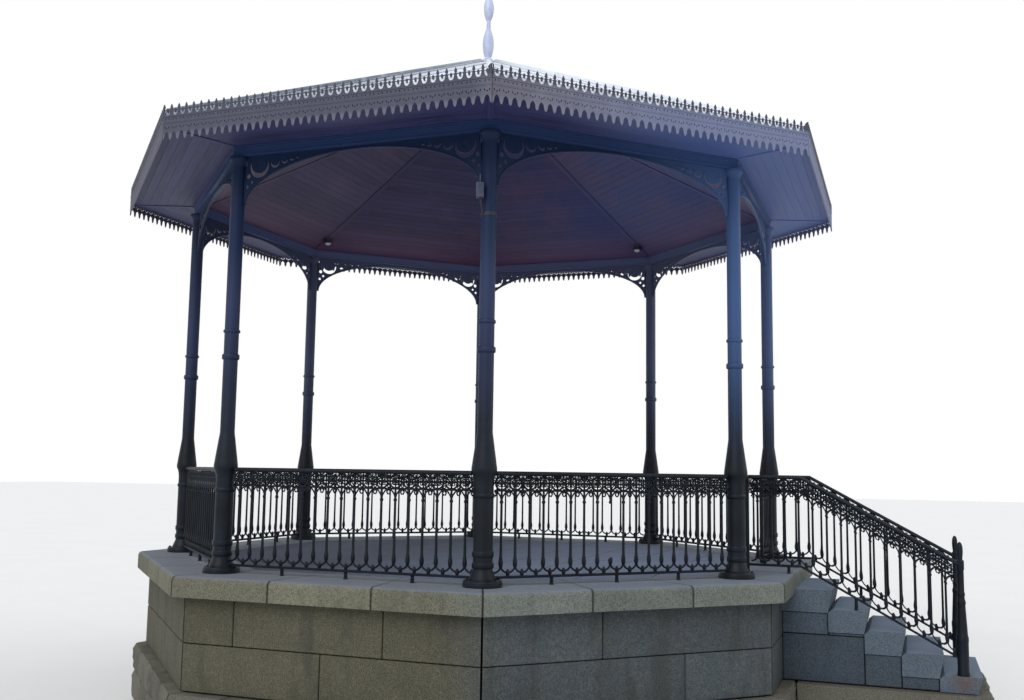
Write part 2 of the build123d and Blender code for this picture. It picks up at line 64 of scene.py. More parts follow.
# Sizes that the pieces share
@dataclass(frozen=True)
class Plan:
    """The octagon, its levels and its flight of steps."""

    sides: int = 8
    column_circle: float = 3.41
    floor: float = 1.62
    footing_top: float = 0.6
    wall_top: float = 1.435
    head: float = 5.57
    soffit: float = 5.67
    eave: float = 5.81
    apex: float = 7.59
    wall_apothem: float = 3.4854
    footing_apothem: float = 3.6254
    eave_apothem: float = 3.8944
    coping_stones: int = 3
    first_step: float = 1.48
    first_nose: float = 3.9234
    riser: float = 0.182
    tread: float = 0.332
    railing: float = 0.57
    newel: float = 5.1314

    @property
    def half_turn(self) -> float:
        """Angle from the middle of a side to its corner."""
        return math.pi / self.sides

    @property
    def column_apothem(self) -> float:
        """Distance from the middle to the line of the columns."""
        return self.column_circle * math.cos(self.half_turn)

    @property
    def bay(self) -> float:
        """Distance between two columns."""
        return 2 * self.column_circle * math.sin(self.half_turn)

    def half_side(self, apothem: float) -> float:
        """Half the length of a side of an octagon with this apothem."""
        return apothem * math.tan(self.half_turn)

    def bay_turn(self, bay: float) -> Matrix:
        """Turn from the first bay, which is number 0, to another."""
        return Matrix.Rotation(2 * self.half_turn * bay, 4, "Z")

    def bay_turns(self) -> list[Matrix]:
        """Turns from the first bay to every bay."""
        return [self.bay_turn(bay) for bay in range(self.sides)]

    def corner_turns(self) -> list[Matrix]:
        """Turns from the X axis to every corner."""
        return [self.bay_turn(bay + 0.5) for bay in range(self.sides)]

    def corner_angle(self, corner: int) -> float:
        """Angle from the X axis to a corner, where corner 0 is the +X end of the first bay."""
        return (2 * corner + 1) * self.half_turn - math.pi / 2

    def on_corner(self, corner: int, reach: float, level: float) -> Triple:
        """Point at a distance from the middle towards a corner."""
        angle = self.corner_angle(corner)
        return (reach * math.cos(angle), reach * math.sin(angle), level)

    def step_top(self, step: int) -> float:
        """Level of a step, counted down from 0."""
        return self.first_step - step * self.riser

    def nose(self, step: int) -> float:
        """Distance from the middle to the front of a step, counted down from 0."""
        return self.first_nose + step * self.tread


PLAN = Plan()


class Slot(Enum):
    """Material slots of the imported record."""

    ROUGH_STONE = "rough_stone"
    RUBBLE = "rubble"
    GRANITE = "granite"
    COPING = "coping_stone"
    STEPS = "step_stone"
    PAVING = "paving"
    IRON = "ironwork"
    BOARDS = "boards"
    TIMBER = "timber"
    ZINC = "zinc"
    FASCIA = "fascia_metal"
    LAMP_METAL = "lamp_metal"
    LAMP_BODY = "lamp_body"


# Work at the bench
def clear_choice() -> None:
    """Leave edit mode and select nothing."""
    if bpy.context.mode != "OBJECT":
        bpy.ops.object.mode_set(mode="OBJECT")
    bpy.ops.object.select_all(action="DESELECT")


def choose(piece: Object) -> None:
    """Select one piece alone and make it the active one.

    Args:
        piece: The piece to select.
    """
    clear_choice()
    piece.select_set(True)
    bpy.context.view_layer.objects.active = piece


@contextmanager
def editing(piece: Object, whole: bool = True) -> Iterator[None]:
    """Hold a piece in edit mode while its mesh is worked on.

    Args:
        piece: The piece to edit.
        whole: Whether all of it is selected first.

    Yields:
        Nothing. The piece is in edit mode until the block ends.
    """
    choose(piece)
    bpy.ops.object.mode_set(mode="EDIT")
    if whole:
        bpy.ops.mesh.select_all(action="SELECT")
    yield
    bpy.ops.object.mode_set(mode="OBJECT")


def settle(piece: Object) -> Object:
    """Put a piece's place, turn and size into its mesh.

    Args:
        piece: The piece to settle.

    Returns:
        The same piece.
    """
    choose(piece)
    bpy.ops.object.transform_apply(location=True, rotation=True, scale=True)
    return piece


def apply_modifier(piece: Object, kind: str, **settings: object) -> Object:
    """Add one modifier to a piece and apply it.

    Args:
        piece: The piece to change.
        kind: Blender's name of the modifier's type.
        **settings: Values for the modifier.

    Returns:
        The same piece.
    """
    choose(piece)
    modifier = piece.modifiers.new(kind.lower(), kind)
    for key, value in settings.items():
        setattr(modifier, key, value)
    bpy.ops.object.modifier_apply(modifier=modifier.name)
    return piece


def soften(piece: Object, width: float, segments: int = 1, sharp: float = 40) -> Object:
    """Bevel a piece's sharp edges.

    Args:
        piece: The piece to soften.
        width: Width of the bevel.
        segments: Number of faces across it.
        sharp: Least angle of an edge, in degrees, that counts as sharp.

    Returns:
        The same piece.
    """
    limit = math.radians(sharp)
    return apply_modifier(
        piece, "BEVEL", width=width, segments=segments, limit_method="ANGLE", angle_limit=limit
    )


def smooth(piece: Object, angle: float = 35) -> Object:
    """Shade a piece smooth.

    Args:
        piece: The piece to shade.
        angle: Angle in degrees from which an edge stays sharp.

    Returns:
        The same piece.
    """
    choose(piece)
    bpy.ops.object.shade_smooth_by_angle(angle=math.radians(angle))
    return piece


def block(name: str, low: Sequence[float], high: Sequence[float], edge: float = 0.0) -> Object:
    """Square block between two corners.

    Args:
        name: Name of the piece.
        low: Lowest corner.
        high: Highest corner.
        edge: Width of the bevel on every edge.

    Returns:
        The block, with its place in its mesh.
    """
    clear_choice()
    low_corner, high_corner = Vector(low), Vector(high)
    bpy.ops.mesh.primitive_cube_add(size=1, location=(low_corner + high_corner) / 2)
    piece = bpy.context.object
    piece.name = name
    piece.scale = high_corner - low_corner
    settle(piece)
    return soften(piece, edge) if edge else piece


def join(name: str, pieces: Sequence[Object]) -> Object:
    """Join several pieces into one.

    Args:
        name: Name of the joined piece.
        pieces: The pieces, of which the first takes in the others.

    Returns:
        The joined piece.
    """
    clear_choice()
    for piece in pieces:
        piece.select_set(True)
    bpy.context.view_layer.objects.active = pieces[0]
    if len(pieces) > 1:
        bpy.ops.object.join()
    pieces[0].name = name
    return pieces[0]


def copy_of(pattern: Object, place: Matrix) -> Object:
    """Copy a piece and its mesh.

    Args:
        pattern: The piece that is copied.
        place: Where the copy goes. A mirrored copy gets its faces turned outwards again.

    Returns:
        The copy.
    """
    copy = pattern.copy()
    copy.data = pattern.data.copy()
    copy.data.transform(place)
    if place.determinant() < 0:
        copy.data.flip_normals()
    bpy.context.collection.objects.link(copy)
    return copy


def copies(name: str, pattern: Object, places: Iterable[Matrix]) -> Object:
    """Copy a piece to several places and join the copies.

    Args:
        name: Name of the joined piece.
        pattern: The piece that is copied; it is used up.
        places: Where each copy goes.

    Returns:
        The joined piece.
    """
    made = [copy_of(pattern, place) for place in places]
    bpy.data.objects.remove(pattern)
    return join(name, made)


def row(piece: Object, count: int, step: float) -> Object:
    """Repeat a piece along X.

    Args:
        piece: The piece to repeat.
        count: Number of pieces in the row.
        step: Distance from one to the next.

    Returns:
        The row as one piece.
    """
    return apply_modifier(
        piece, "ARRAY", count=count, use_relative_offset=False, use_constant_offset=True,
        constant_offset_displace=(step, 0, 0),
    )


def move(piece: Object, x: float = 0.0, y: float = 0.0, z: float = 0.0) -> Object:
    """Shift a piece's mesh."""
    piece.data.transform(Matrix.Translation((x, y, z)))
    return piece


def cut(piece: Object, at: Vector, normal: Vector) -> Object:
    """Cut a piece with a plane, close the cut and throw away what lies beyond it.

    Args:
        piece: The piece to cut.
        at: A point of the plane.
        normal: Direction of the side that goes.

    Returns:
        The same piece.
    """
    with editing(piece):
        bpy.ops.mesh.bisect(plane_co=at, plane_no=normal, use_fill=True, clear_outer=True)
    return piece


def mitre(piece: Object, setback: float) -> Object:
    """Cut a piece of the first bay along the lines to its two corners.

    Args:
        piece: The piece to cut.
        setback: How far short of each line it ends.

    Returns:
        The same piece.
    """
    for side in (-1, 1):
        normal = Vector((side * math.cos(PLAN.half_turn), math.sin(PLAN.half_turn), 0))
        cut(piece, -setback * normal, normal)
    return piece


def turned(name: str, profile: Sequence[Point], segments: int, at: Sequence[float] = (0, 0, 0)) -> Object:
    """Turned piece: a disc that is drawn out level by level, as on a lathe.

    Args:
        name: Name of the piece.
        profile: Radius and height of each ring, from the lowest up.
        segments: Number of sides.
        at: Where the profile's zero stands.

    Returns:
        The closed, smooth piece.
    """
    clear_choice()
    radius, level = profile[0]
    bpy.ops.mesh.primitive_circle_add(
        vertices=segments, radius=radius, fill_type="NGON", location=(at[0], at[1], at[2] + level)
    )
    piece = bpy.context.object
    piece.name = name
    settle(piece)
    with editing(piece):
        for new_radius, new_level in profile[1:]:
            bpy.ops.mesh.extrude_region_move(TRANSFORM_OT_translate={"value": (0, 0, new_level - level)})
            ratio = new_radius / radius
            centre = (at[0], at[1], at[2] + new_level)
            bpy.ops.transform.resize(value=(ratio, ratio, 1), center_override=centre)
            radius, level = new_radius, new_level
        bpy.ops.mesh.select_all(action="SELECT")
        bpy.ops.mesh.normals_make_consistent(inside=False)
    return smooth(piece)


def arc(
    centre: Point, radius: float, start: float, end: float, steps: int, squash: float = 1.0
) -> list[Point]:
    """Points along an arc between two angles in degrees."""
    angles = [math.radians(start + (end - start) * step / steps) for step in range(steps + 1)]
    return [(centre[0] + radius * math.cos(a), centre[1] + squash * radius * math.sin(a)) for a in angles]


def circle(centre: Point, radius: float, steps: int) -> list[Point]:
    """Points around a closed circle."""
    return arc(centre, radius, 0, 360, steps)[:-1]


def leaning(centre: Point, width: float, height: float, lean: float) -> list[Point]:
    """Points around an upright ellipse that leans.

    Args:
        centre: Its centre.
        width: Half its width.
        height: Half its height.
        lean: Angle in degrees that it leans towards the left.

    Returns:
        Eight points.
    """
    turn = math.radians(lean)
    points = []
    for x, z in circle((0, 0), 1.0, 8):
        across, up = x * width, z * height
        points.append((
            centre[0] + across * math.cos(turn) - up * math.sin(turn),
            centre[1] + across * math.sin(turn) + up * math.cos(turn),
        ))
    return points


def mirrored(points: Iterable[Point]) -> list[Point]:
    """Points of a drawing, swapped from right to left."""
    return [(-x, z) for x, z in points]


def drawn(name: str, lines: Sequence[Sequence[Triple]], closed: bool, **settings: object) -> Object:
    """Mesh of a curve with straight stretches.

    Args:
        name: Name of the piece.
        lines: The points that each line of the curve follows.
        closed: Whether each line comes back to its start.
        **settings: Values for the curve, such as its thickness.

    Returns:
        The mesh, with its faces turned outwards.
    """
    curve = bpy.data.curves.new(name, "CURVE")
    for key, value in settings.items():
        setattr(curve, key, value)
    for line in lines:
        spline = curve.splines.new("POLY")
        spline.points.add(len(line) - 1)
        spline.use_cyclic_u = closed
        for spot, point in zip(spline.points, line):
            spot.co = (*point, 1)
    piece = bpy.data.objects.new(name, curve)
    bpy.context.collection.objects.link(piece)
    choose(piece)
    bpy.ops.object.convert(target="MESH")
    piece = bpy.context.object
    with editing(piece):
        bpy.ops.mesh.remove_doubles(threshold=1e-5)
        bpy.ops.mesh.normals_make_consistent(inside=False)
    return piece


def rods(
    name: str, lines: Sequence[Sequence[Point]], radius: float, sides: int = 0, closed: bool = False
) -> Object:
    """Round bars that follow lines in the plane of a bay.

    Args:
        name: Name of the piece.
        lines: The points that each bar follows, x along the bay and z up.
        radius: Radius of the bars.
        sides: Blender's bevel resolution, where 0 gives four sides.
        closed: Whether each line comes back to its start.

    Returns:
        The bars as one mesh.
    """
    places = [[(x, 0.0, z) for x, z in line] for line in lines]
    return drawn(
        name, places, closed, dimensions="3D", bevel_depth=radius, bevel_resolution=sides,
        use_fill_caps=not closed,
    )


def casting(name: str, lines: Sequence[Sequence[Point]], thickness: float, edge: float = 0.0) -> Object:
    """Flat openwork casting that stands in the plane of a bay.

    Args:
        name: Name of the piece.
        lines: Its closed outline first, then its openings.
        thickness: Whole thickness of the casting.
        edge: Bevel along its outline and openings.

    Returns:
        The casting as a mesh, its mid plane at y = 0.
    """
    places = [[(x, z, 0.0) for x, z in line] for line in lines]
    piece = drawn(
        name, places, True, dimensions="2D", fill_mode="BOTH", extrude=thickness / 2 - edge,
        bevel_depth=edge, bevel_resolution=0, offset=-edge,
    )
    piece.data.transform(Matrix.Rotation(math.radians(90), 4, "X"))
    return piece


def mark_tone(piece: Object, tone: float) -> Object:
    """Give a stone or a board a shade of its own, which its finish reads.

    Args:
        piece: The stone or board.
        tone: Its shade in the range of TONES, from dark to light.

    Returns:
        The same piece.
    """
    attribute = piece.data.attributes.new("tone", "FLOAT", "POINT")
    attribute.data.foreach_set("value", [tone] * len(piece.data.vertices))
    return piece


def mark_grain(piece: Object, shift: float) -> Object:
    """Store where each point of a board lies along the first bay, so that its grain turns with it.

    Args:
        piece: The board.
        shift: How far its grain is moved from that of the others.

    Returns:
        The same piece.
    """
    attribute = piece.data.attributes.new("grain", "FLOAT_VECTOR", "POINT")
    for spot, vertex in zip(attribute.data, piece.data.vertices):
        spot.vector = (vertex.co.x + shift, vertex.co.y + shift, vertex.co.z)
    return piece


def hand_over(piece: Object, slot: Slot, finish: Material, *replaced: str) -> Object:
    """Give a new piece its finish and its body.

    Args:
        piece: The finished piece.
        slot: The slot that it takes its finish from. It is not used.
        finish: Its material.
        *replaced: CAD nodes that it stands for.

    Returns:
        The same piece.
    """
    piece.data.materials.clear()
    piece.data.materials.append(finish)
    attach(piece, "root")
    if replaced:
        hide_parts(*replaced)
    log.info("%s: %d faces", piece.name, len(piece.data.polygons))
    return piece


def hand_out(pattern: Object, finish: Material, places: Iterable[tuple[str, str, Matrix]]) -> None:
    """Hand over copies of an iron piece, each for a CAD node of its own.

    Args:
        pattern: The piece that is copied; it is used up.
        finish: Material of the copies.
        places: Name, CAD node and place of each copy.
    """
    for name, node, place in places:
        copy = copy_of(pattern, place)
        copy.name = name
        hand_over(copy, Slot.IRON, finish, node)
    bpy.data.objects.remove(pattern)


def dress(finish: Material, *nodes: str) -> None:
    """Give CAD nodes that stay as they are their finish.

    Args:
        finish: The material.
        *nodes: Names of the nodes.
    """
    for name in nodes:
        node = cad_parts[name]
        node.data.materials.clear()
        node.data.materials.append(finish)
        log.info("%s keeps its shape", name)

# Finishes
def tint(red: int, green: int, blue: int) -> Colour:
    """Screen colour as the linear colour that a shader takes.

    Args:
        red: Share of red, from 0 to 255.
        green: Share of green.
        blue: Share of blue.

    Returns:
        The linear colour, with full cover.
    """
    values = [part / 255 for part in (red, green, blue)]
    linear = [v / 12.92 if v <= 0.04045 else ((v + 0.055) / 1.055) ** 2.4 for v in values]
    return (linear[0], linear[1], linear[2], 1.0)


class NodeSheet:
    """The nodes of one material, added and joined as they are needed."""

    def __init__(self, name: str) -> None:
        """Start a material that has a shader and nothing else.

        Args:
            name: Name of the material.
        """
        self.material = bpy.data.materials.new(name)
        self.material.use_nodes = True
        self.tree = self.material.node_tree
        self.shader = self.tree.nodes["Principled BSDF"]
        self.place = self.add("ShaderNodeTexCoord").outputs["Object"]

    def add(
        self, kind: str, inputs: dict[str | int, object] | None = None, **settings: object
    ) -> bpy.types.Node:
        """Add a node.

        Args:
            kind: Blender's name of the node's type.
            inputs: A value or another node's output for each input named.
            **settings: Values for the node's own settings.

        Returns:
            The node.
        """
        node = self.tree.nodes.new(kind)
        for key, value in settings.items():
            setattr(node, key, value)
        for key, value in (inputs or {}).items():
            self.feed(node.inputs[key], value)
        return node

    def feed(self, socket: Socket, value: object) -> None:
        """Join an output to a socket, or set the socket's own value.

        Args:
            socket: The input.
            value: Another node's output, or a constant.
        """
        if isinstance(value, Socket):
            self.tree.links.new(value, socket)
        else:
            socket.default_value = value

    def stretch(self, scale: Sequence[float], vector: Socket | None = None) -> Socket:
        """Coordinates scaled by axis: those of the object, or a vector's."""
        inputs = {"Vector": vector or self.place, "Scale": scale}
        return self.add("ShaderNodeMapping", inputs).outputs["Vector"]

    def noise(
        self, scale: float, detail: float = 3.0, roughness: float = 0.55, vector: Socket | None = None
    ) -> Socket:
        """Soft noise from 0 to 1."""
        inputs = {"Vector": vector or self.place, "Scale": scale, "Detail": detail, "Roughness": roughness}
        return self.add("ShaderNodeTexNoise", inputs).outputs["Fac"]

    def cells(self, scale: float, vector: Socket | None = None) -> Socket:
        """Distance to the nearest of many scattered points."""
        inputs = {"Vector": vector or self.place, "Scale": scale}
        return self.add("ShaderNodeTexVoronoi", inputs).outputs["Distance"]

    def ramp(self, value: Socket, low: float, high: float) -> Socket:
        """A value spread from 0 at one end to 1 at the other, and held there."""
        inputs = {"Value": value, "From Min": low, "From Max": high}
        return self.add("ShaderNodeMapRange", inputs, interpolation_type="SMOOTHSTEP").outputs["Result"]

    def between(self, value: Socket, low: float, high: float) -> Socket:
        """A value from 0 to 1, brought between two others."""
        inputs = {"Value": value, "To Min": low, "To Max": high}
        return self.add("ShaderNodeMapRange", inputs).outputs["Result"]

    def math(self, operation: str, first: Socket | float, second: Socket | float = 0.0) -> Socket:
        """One sum on two values."""
        return self.add("ShaderNodeMath", {0: first, 1: second}, operation=operation).outputs["Value"]

    def times(self, first: Socket | float, second: Socket | float) -> Socket:
        """Two values multiplied."""
        return self.math("MULTIPLY", first, second)

    def plus(self, first: Socket | float, second: Socket | float) -> Socket:
        """Two values added."""
        return self.math("ADD", first, second)

    def mix(
        self, share: Socket | float, first: Socket | Colour, second: Socket | Colour, way: str = "MIX"
    ) -> Socket:
        """Two colours mixed by a share of the second."""
        inputs = {0: share, 6: first, 7: second}
        return self.add("ShaderNodeMix", inputs, data_type="RGBA", blend_type=way).outputs[2]

    def cover(self, colour: Socket, layer: Socket | Colour, share: Socket, depth: float | Socket) -> Socket:
        """A colour under a layer of another, laid by a share and never thicker than a depth."""
        return self.mix(self.times(share, depth), colour, layer)

    def shade(self, colour: Socket, value: Socket, depth: float) -> Socket:
        """A colour made darker or lighter by a value around one half.

        Args:
            colour: The colour.
            value: From 0, which darkens it most, to 1, which lightens it most.
            depth: How much it changes at most, as a part of itself.

        Returns:
            The shaded colour.
        """
        level = self.plus(self.times(value, 2 * depth), 1 - depth)
        grey = self.add("ShaderNodeCombineColor", {0: level, 1: level, 2: level}).outputs["Color"]
        return self.mix(1.0, colour, grey, "MULTIPLY")

    def part(self, vector: Socket, axis: str) -> Socket:
        """One coordinate of a vector."""
        return self.add("ShaderNodeSeparateXYZ", {"Vector": vector}).outputs[axis]

    def along(self, axis: str, near: float, far: float) -> Socket:
        """How far a point lies along an axis of the object, from 0 at one place to 1 at the other."""
        return self.ramp(self.part(self.place, axis), near, far)

    def upward(self) -> Socket:
        """How far a surface faces up, from -1 to 1."""
        return self.part(self.add("ShaderNodeNewGeometry").outputs["Normal"], "Z")

    def attribute(self, name: str, output: str) -> Socket:
        """A value that a piece's mesh carries."""
        return self.add("ShaderNodeAttribute", attribute_name=name).outputs[output]

    def tone(self) -> Socket:
        """The shade of its own that a stone or board carries, from 0 to 1."""
        return self.plus(self.attribute("tone", "Fac"), 0.5)

    def relief(self, height: Socket, strength: float, distance: float) -> None:
        """Raise the surface by a height."""
        inputs = {"Height": height, "Strength": strength, "Distance": distance}
        self.feed(self.shader.inputs["Normal"], self.add("ShaderNodeBump", inputs).outputs["Normal"])

    def done(self, colour: Socket, roughness: Socket | float, **constants: float) -> Material:
        """Finish the material.

        Args:
            colour: Its colour.
            roughness: Its roughness.
            **constants: Values for the shader's other inputs, with _ for a space in a name.

        Returns:
            The material.
        """
        self.feed(self.shader.inputs["Base Color"], colour)
        self.feed(self.shader.inputs["Roughness"], roughness)
        for name, value in constants.items():
            self.shader.inputs[name.replace("_", " ")].default_value = value
        return self.material


@dataclass(frozen=True)
class Granite:
    """Granite with grains, mica flecks, weather stains and lichen.

    The colours `warm` are those of its body and its grain on the sides that face away from the steps, and
    they are painted shade with warmer light. A paler colour on its tops, where it has one, is painted
    highlight, and the darker joints of the coping are painted shade.
    """

    name: str
    body: Colour
    grain: Colour
    stain: Colour
    lichen: Colour = tint(150, 152, 128)
    lichen_share: float = 0.35
    stain_share: float = 0.6
    grain_scale: float = 95.0
    relief_depth: float = 0.003
    rust_spots: tuple[Triple, ...] = ()
    coursed: bool = False
    # Painted highlight: a paler colour on surfaces that face up
    painted_light: Colour | None = None
    # Painted shade with warmer light on the sides away from the steps
    warm: tuple[Colour, Colour] | None = None
    warm_share: float = 0.85
    warm_reach: Point = (-1.7, -1.0)
    feldspar: Colour = tint(112, 100, 84)
    feldspar_share: float = 0.3
    mica: Colour = tint(46, 45, 46)
    # Painted shade in the joints of the coping
    mortar_and_joint_shade: Colour = tint(40, 40, 38)
    rust: Colour = tint(88, 64, 54)

    def material(self) -> Material:
        """Build the granite's nodes.

        Returns:
            The material.
        """
        sheet = NodeSheet(self.name)
        grains = sheet.noise(self.grain_scale, 2.0, 0.7)
        speckle = sheet.ramp(grains, 0.35, 0.65)
        colour = sheet.mix(speckle, self.grain, self.body)
        # Painted shade with warmer light on the sides that face away from the steps
        if self.warm:
            body, grain = self.warm
            away = sheet.along("Y", *self.warm_reach)
            colour = sheet.cover(colour, sheet.mix(speckle, grain, body), away, self.warm_share)
        flecks = sheet.ramp(sheet.cells(1.6 * self.grain_scale), 0.30, 0.12)
        colour = sheet.cover(colour, self.mica, flecks, 0.4)
        brown = sheet.ramp(sheet.noise(34.0, 4.0, 0.7), 0.50, 0.66)
        colour = sheet.cover(colour, self.feldspar, brown, self.feldspar_share)
        colour = sheet.shade(colour, self.tone(sheet), 0.16)
        colour = sheet.shade(colour, sheet.noise(1.4, 4.0, 0.6), 0.30)
        streaks = sheet.noise(1.0, 5.0, 0.6, sheet.stretch((3.2, 3.2, 0.8)))
        colour = sheet.cover(colour, self.stain, sheet.ramp(streaks, 0.50, 0.72), self.stain_share)
        # Painted highlight on the surfaces that face up
        if self.painted_light:
            colour = sheet.cover(colour, self.painted_light, sheet.ramp(sheet.upward(), 0.5, 0.95), 0.6)
        patches = sheet.ramp(sheet.noise(5.0, 6.0, 0.7), 0.56, 0.68)
        growth = sheet.times(patches, sheet.ramp(sheet.upward(), -0.6, 0.8))
        colour = sheet.cover(colour, self.lichen, growth, self.lichen_share)
        # Painted shade in the joints between the coping stones
        if self.coursed:
            colour = sheet.cover(colour, self.mortar_and_joint_shade, self.joints(sheet), 0.75)
        for spot in self.rust_spots:
            colour = self.rusted(sheet, colour, spot)
        height = sheet.plus(grains, sheet.times(sheet.noise(18, 4.0, 0.6), 1.5))
        sheet.relief(height, 0.6, self.relief_depth)
        return sheet.done(colour, 0.86, Specular_IOR_Level=0.3)

    def stones(self, sheet: NodeSheet) -> tuple[Socket, Socket]:
        """Where a point lies in the ring of coping stones.

        Args:
            sheet: The material's nodes.

        Returns:
            Number of the side of the octagon that it is on, and its place along that side in stones.
        """
        angle = sheet.math("ARCTAN2", sheet.part(sheet.place, "Y"), sheet.part(sheet.place, "X"))
        turn = sheet.plus(sheet.math("DIVIDE", angle, 2 * PLAN.half_turn), PLAN.sides + 0.5)
        side = sheet.math("FLOOR", turn)
        inside = sheet.math("SUBTRACT", sheet.math("SUBTRACT", turn, side), 0.5)
        reach = sheet.math("TANGENT", sheet.times(inside, 2 * PLAN.half_turn))
        share = sheet.plus(sheet.math("DIVIDE", reach, 2 * math.tan(PLAN.half_turn)), 0.5)
        return side, sheet.times(share, PLAN.coping_stones)

    def joints(self, sheet: NodeSheet) -> Socket:
        """Painted shade in the joints between the coping stones, from 0 to 1."""
        away = sheet.math("SUBTRACT", sheet.math("FRACT", self.stones(sheet)[1]), 0.5)
        return sheet.ramp(sheet.math("ABSOLUTE", away), 0.484, 0.494)

    def tone(self, sheet: NodeSheet) -> Socket:
        """Shade of each stone: what its mesh carries, or for the coping what its place in the ring gives.

        Args:
            sheet: The material's nodes.

        Returns:
            A value from 0 to 1.
        """
        if not self.coursed:
            return sheet.tone()
        side, place = self.stones(sheet)
        stone = sheet.plus(sheet.times(side, PLAN.coping_stones), sheet.math("FLOOR", place))
        return sheet.add("ShaderNodeTexWhiteNoise", {"W": stone}, noise_dimensions="1D").outputs["Value"]

    def rusted(self, sheet: NodeSheet, colour: Socket, spot: Triple) -> Socket:
        """A colour with a rust stain around a spot.

        Args:
            sheet: The material's nodes.
            colour: The colour under the stain.
            spot: Middle of the stain.

        Returns:
            The stained colour.
        """
        away = sheet.add("ShaderNodeVectorMath", {0: sheet.place, 1: spot}, operation="DISTANCE")
        ragged = sheet.plus(away.outputs["Value"], sheet.times(sheet.noise(14, 4.0), 0.14))
        return sheet.cover(colour, self.rust, sheet.ramp(ragged, 0.25, 0.10), 0.62)


@dataclass(frozen=True)
class Flags:
    """Grey paving flags with narrow joints, with painted daylight that makes them paler towards the open side
    by the steps.
    """

    name: str = "paving_flags"
    flag: float = 0.6
    joint: float = 0.006
    pale: Colour = tint(52, 63, 82)
    dark: Colour = tint(43, 53, 72)
    mortar_and_joint_shade: Colour = tint(30, 38, 52)
    # Painted daylight: paler flags towards the open side by the steps, and where it reaches
    painted_light: Colour = tint(106, 119, 144)
    painted_light_reach: Point = (1.4, -1.8)

    def material(self) -> Material:
        """Build the paving's nodes.

        Returns:
            The material.
        """
        sheet = NodeSheet(self.name)
        inputs = {
            "Vector": sheet.place, "Scale": 1.0, "Mortar Size": self.joint, "Mortar Smooth": 0.2,
            "Brick Width": self.flag, "Row Height": self.flag,
            "Color1": self.pale, "Color2": self.dark, "Mortar": self.mortar_and_joint_shade,
        }
        laid = sheet.add("ShaderNodeTexBrick", inputs).outputs
        # Painted daylight on the flags near the open side by the steps
        open_side = sheet.times(sheet.along("Y", *self.painted_light_reach), 0.85)
        flags = sheet.math("SUBTRACT", 1.0, laid["Fac"])
        colour = sheet.cover(laid["Color"], self.painted_light, open_side, flags)
        colour = sheet.shade(colour, sheet.noise(2.2, 5.0, 0.65), 0.3)
        grains = sheet.noise(90, 2.0, 0.7)
        colour = sheet.shade(colour, grains, 0.25)
        height = sheet.math("SUBTRACT", sheet.times(grains, 0.3), laid["Fac"])
        sheet.relief(height, 0.7, 0.003)
        return sheet.done(colour, 0.8, Specular_IOR_Level=0.3)


@dataclass(frozen=True)
class PaintedIron:
    """Cast iron under old dark paint, with dust on its upper sides and a little rust, and painted haze that
    grows upwards, with painted shade on the -X side and painted sky light and sunlight towards the steps and
    +X.
    """

    name: str = "painted_iron"
    paint: Colour = tint(9, 14, 21)
    worn: Colour = tint(19, 27, 38)
    dust: Colour = tint(52, 57, 67)
    rust: Colour = tint(88, 52, 38)
    rust_share: float = 0.4
    # Painted haze that takes over the paint upwards, painted shade and light at the top, painted sky light
    # towards the steps, painted sunlight towards +X, and the levels where haze and top colours take over
    painted_haze: Colour = tint(46, 57, 90)
    shaded: Colour = tint(16, 36, 71)
    lit_top: Colour = tint(44, 53, 82)
    sky_lit: Colour = tint(65, 92, 140)
    sunlit: Colour = tint(122, 128, 158)
    haze_levels: Point = (2.6, 4.3)
    top_light_levels: Point = (4.1, 4.8)

    def material(self) -> Material:
        """Build the paint's nodes.

        Returns:
            The material.
        """
        sheet = NodeSheet(self.name)
        colour = sheet.mix(sheet.ramp(sheet.noise(3.0, 5.0, 0.6), 0.35, 0.7), self.paint, self.worn)
        # Painted haze, shade and light: shade at the top on the -X side, light towards +X, sky light towards
        # the steps
        top = sheet.mix(sheet.along("X", -2.6, -0.8), self.shaded, self.lit_top)
        painted_haze = sheet.mix(sheet.along("Z", *self.top_light_levels), self.painted_haze, top)
        painted_haze = sheet.mix(sheet.along("Y", -2.0, -3.2), painted_haze, self.sky_lit)
        painted_haze = sheet.cover(painted_haze, self.sunlit, sheet.along("X", -1.0, 2.5), 0.35)
        colour = sheet.cover(colour, painted_haze, sheet.along("Z", *self.haze_levels), 0.8)
        dusty = sheet.times(sheet.ramp(sheet.upward(), 0.35, 1.0), sheet.ramp(sheet.noise(24, 4.0), 0.3, 0.7))
        colour = sheet.cover(colour, self.dust, dusty, 0.35)
        spots = sheet.ramp(sheet.noise(38, 6.0, 0.75), 0.66, 0.74)
        colour = sheet.cover(colour, self.rust, spots, self.rust_share)
        sheet.relief(sheet.noise(120, 3.0, 0.6), 0.25, 0.001)
        return sheet.done(colour, sheet.between(sheet.noise(9, 4.0), 0.36, 0.62), Specular_IOR_Level=0.18)


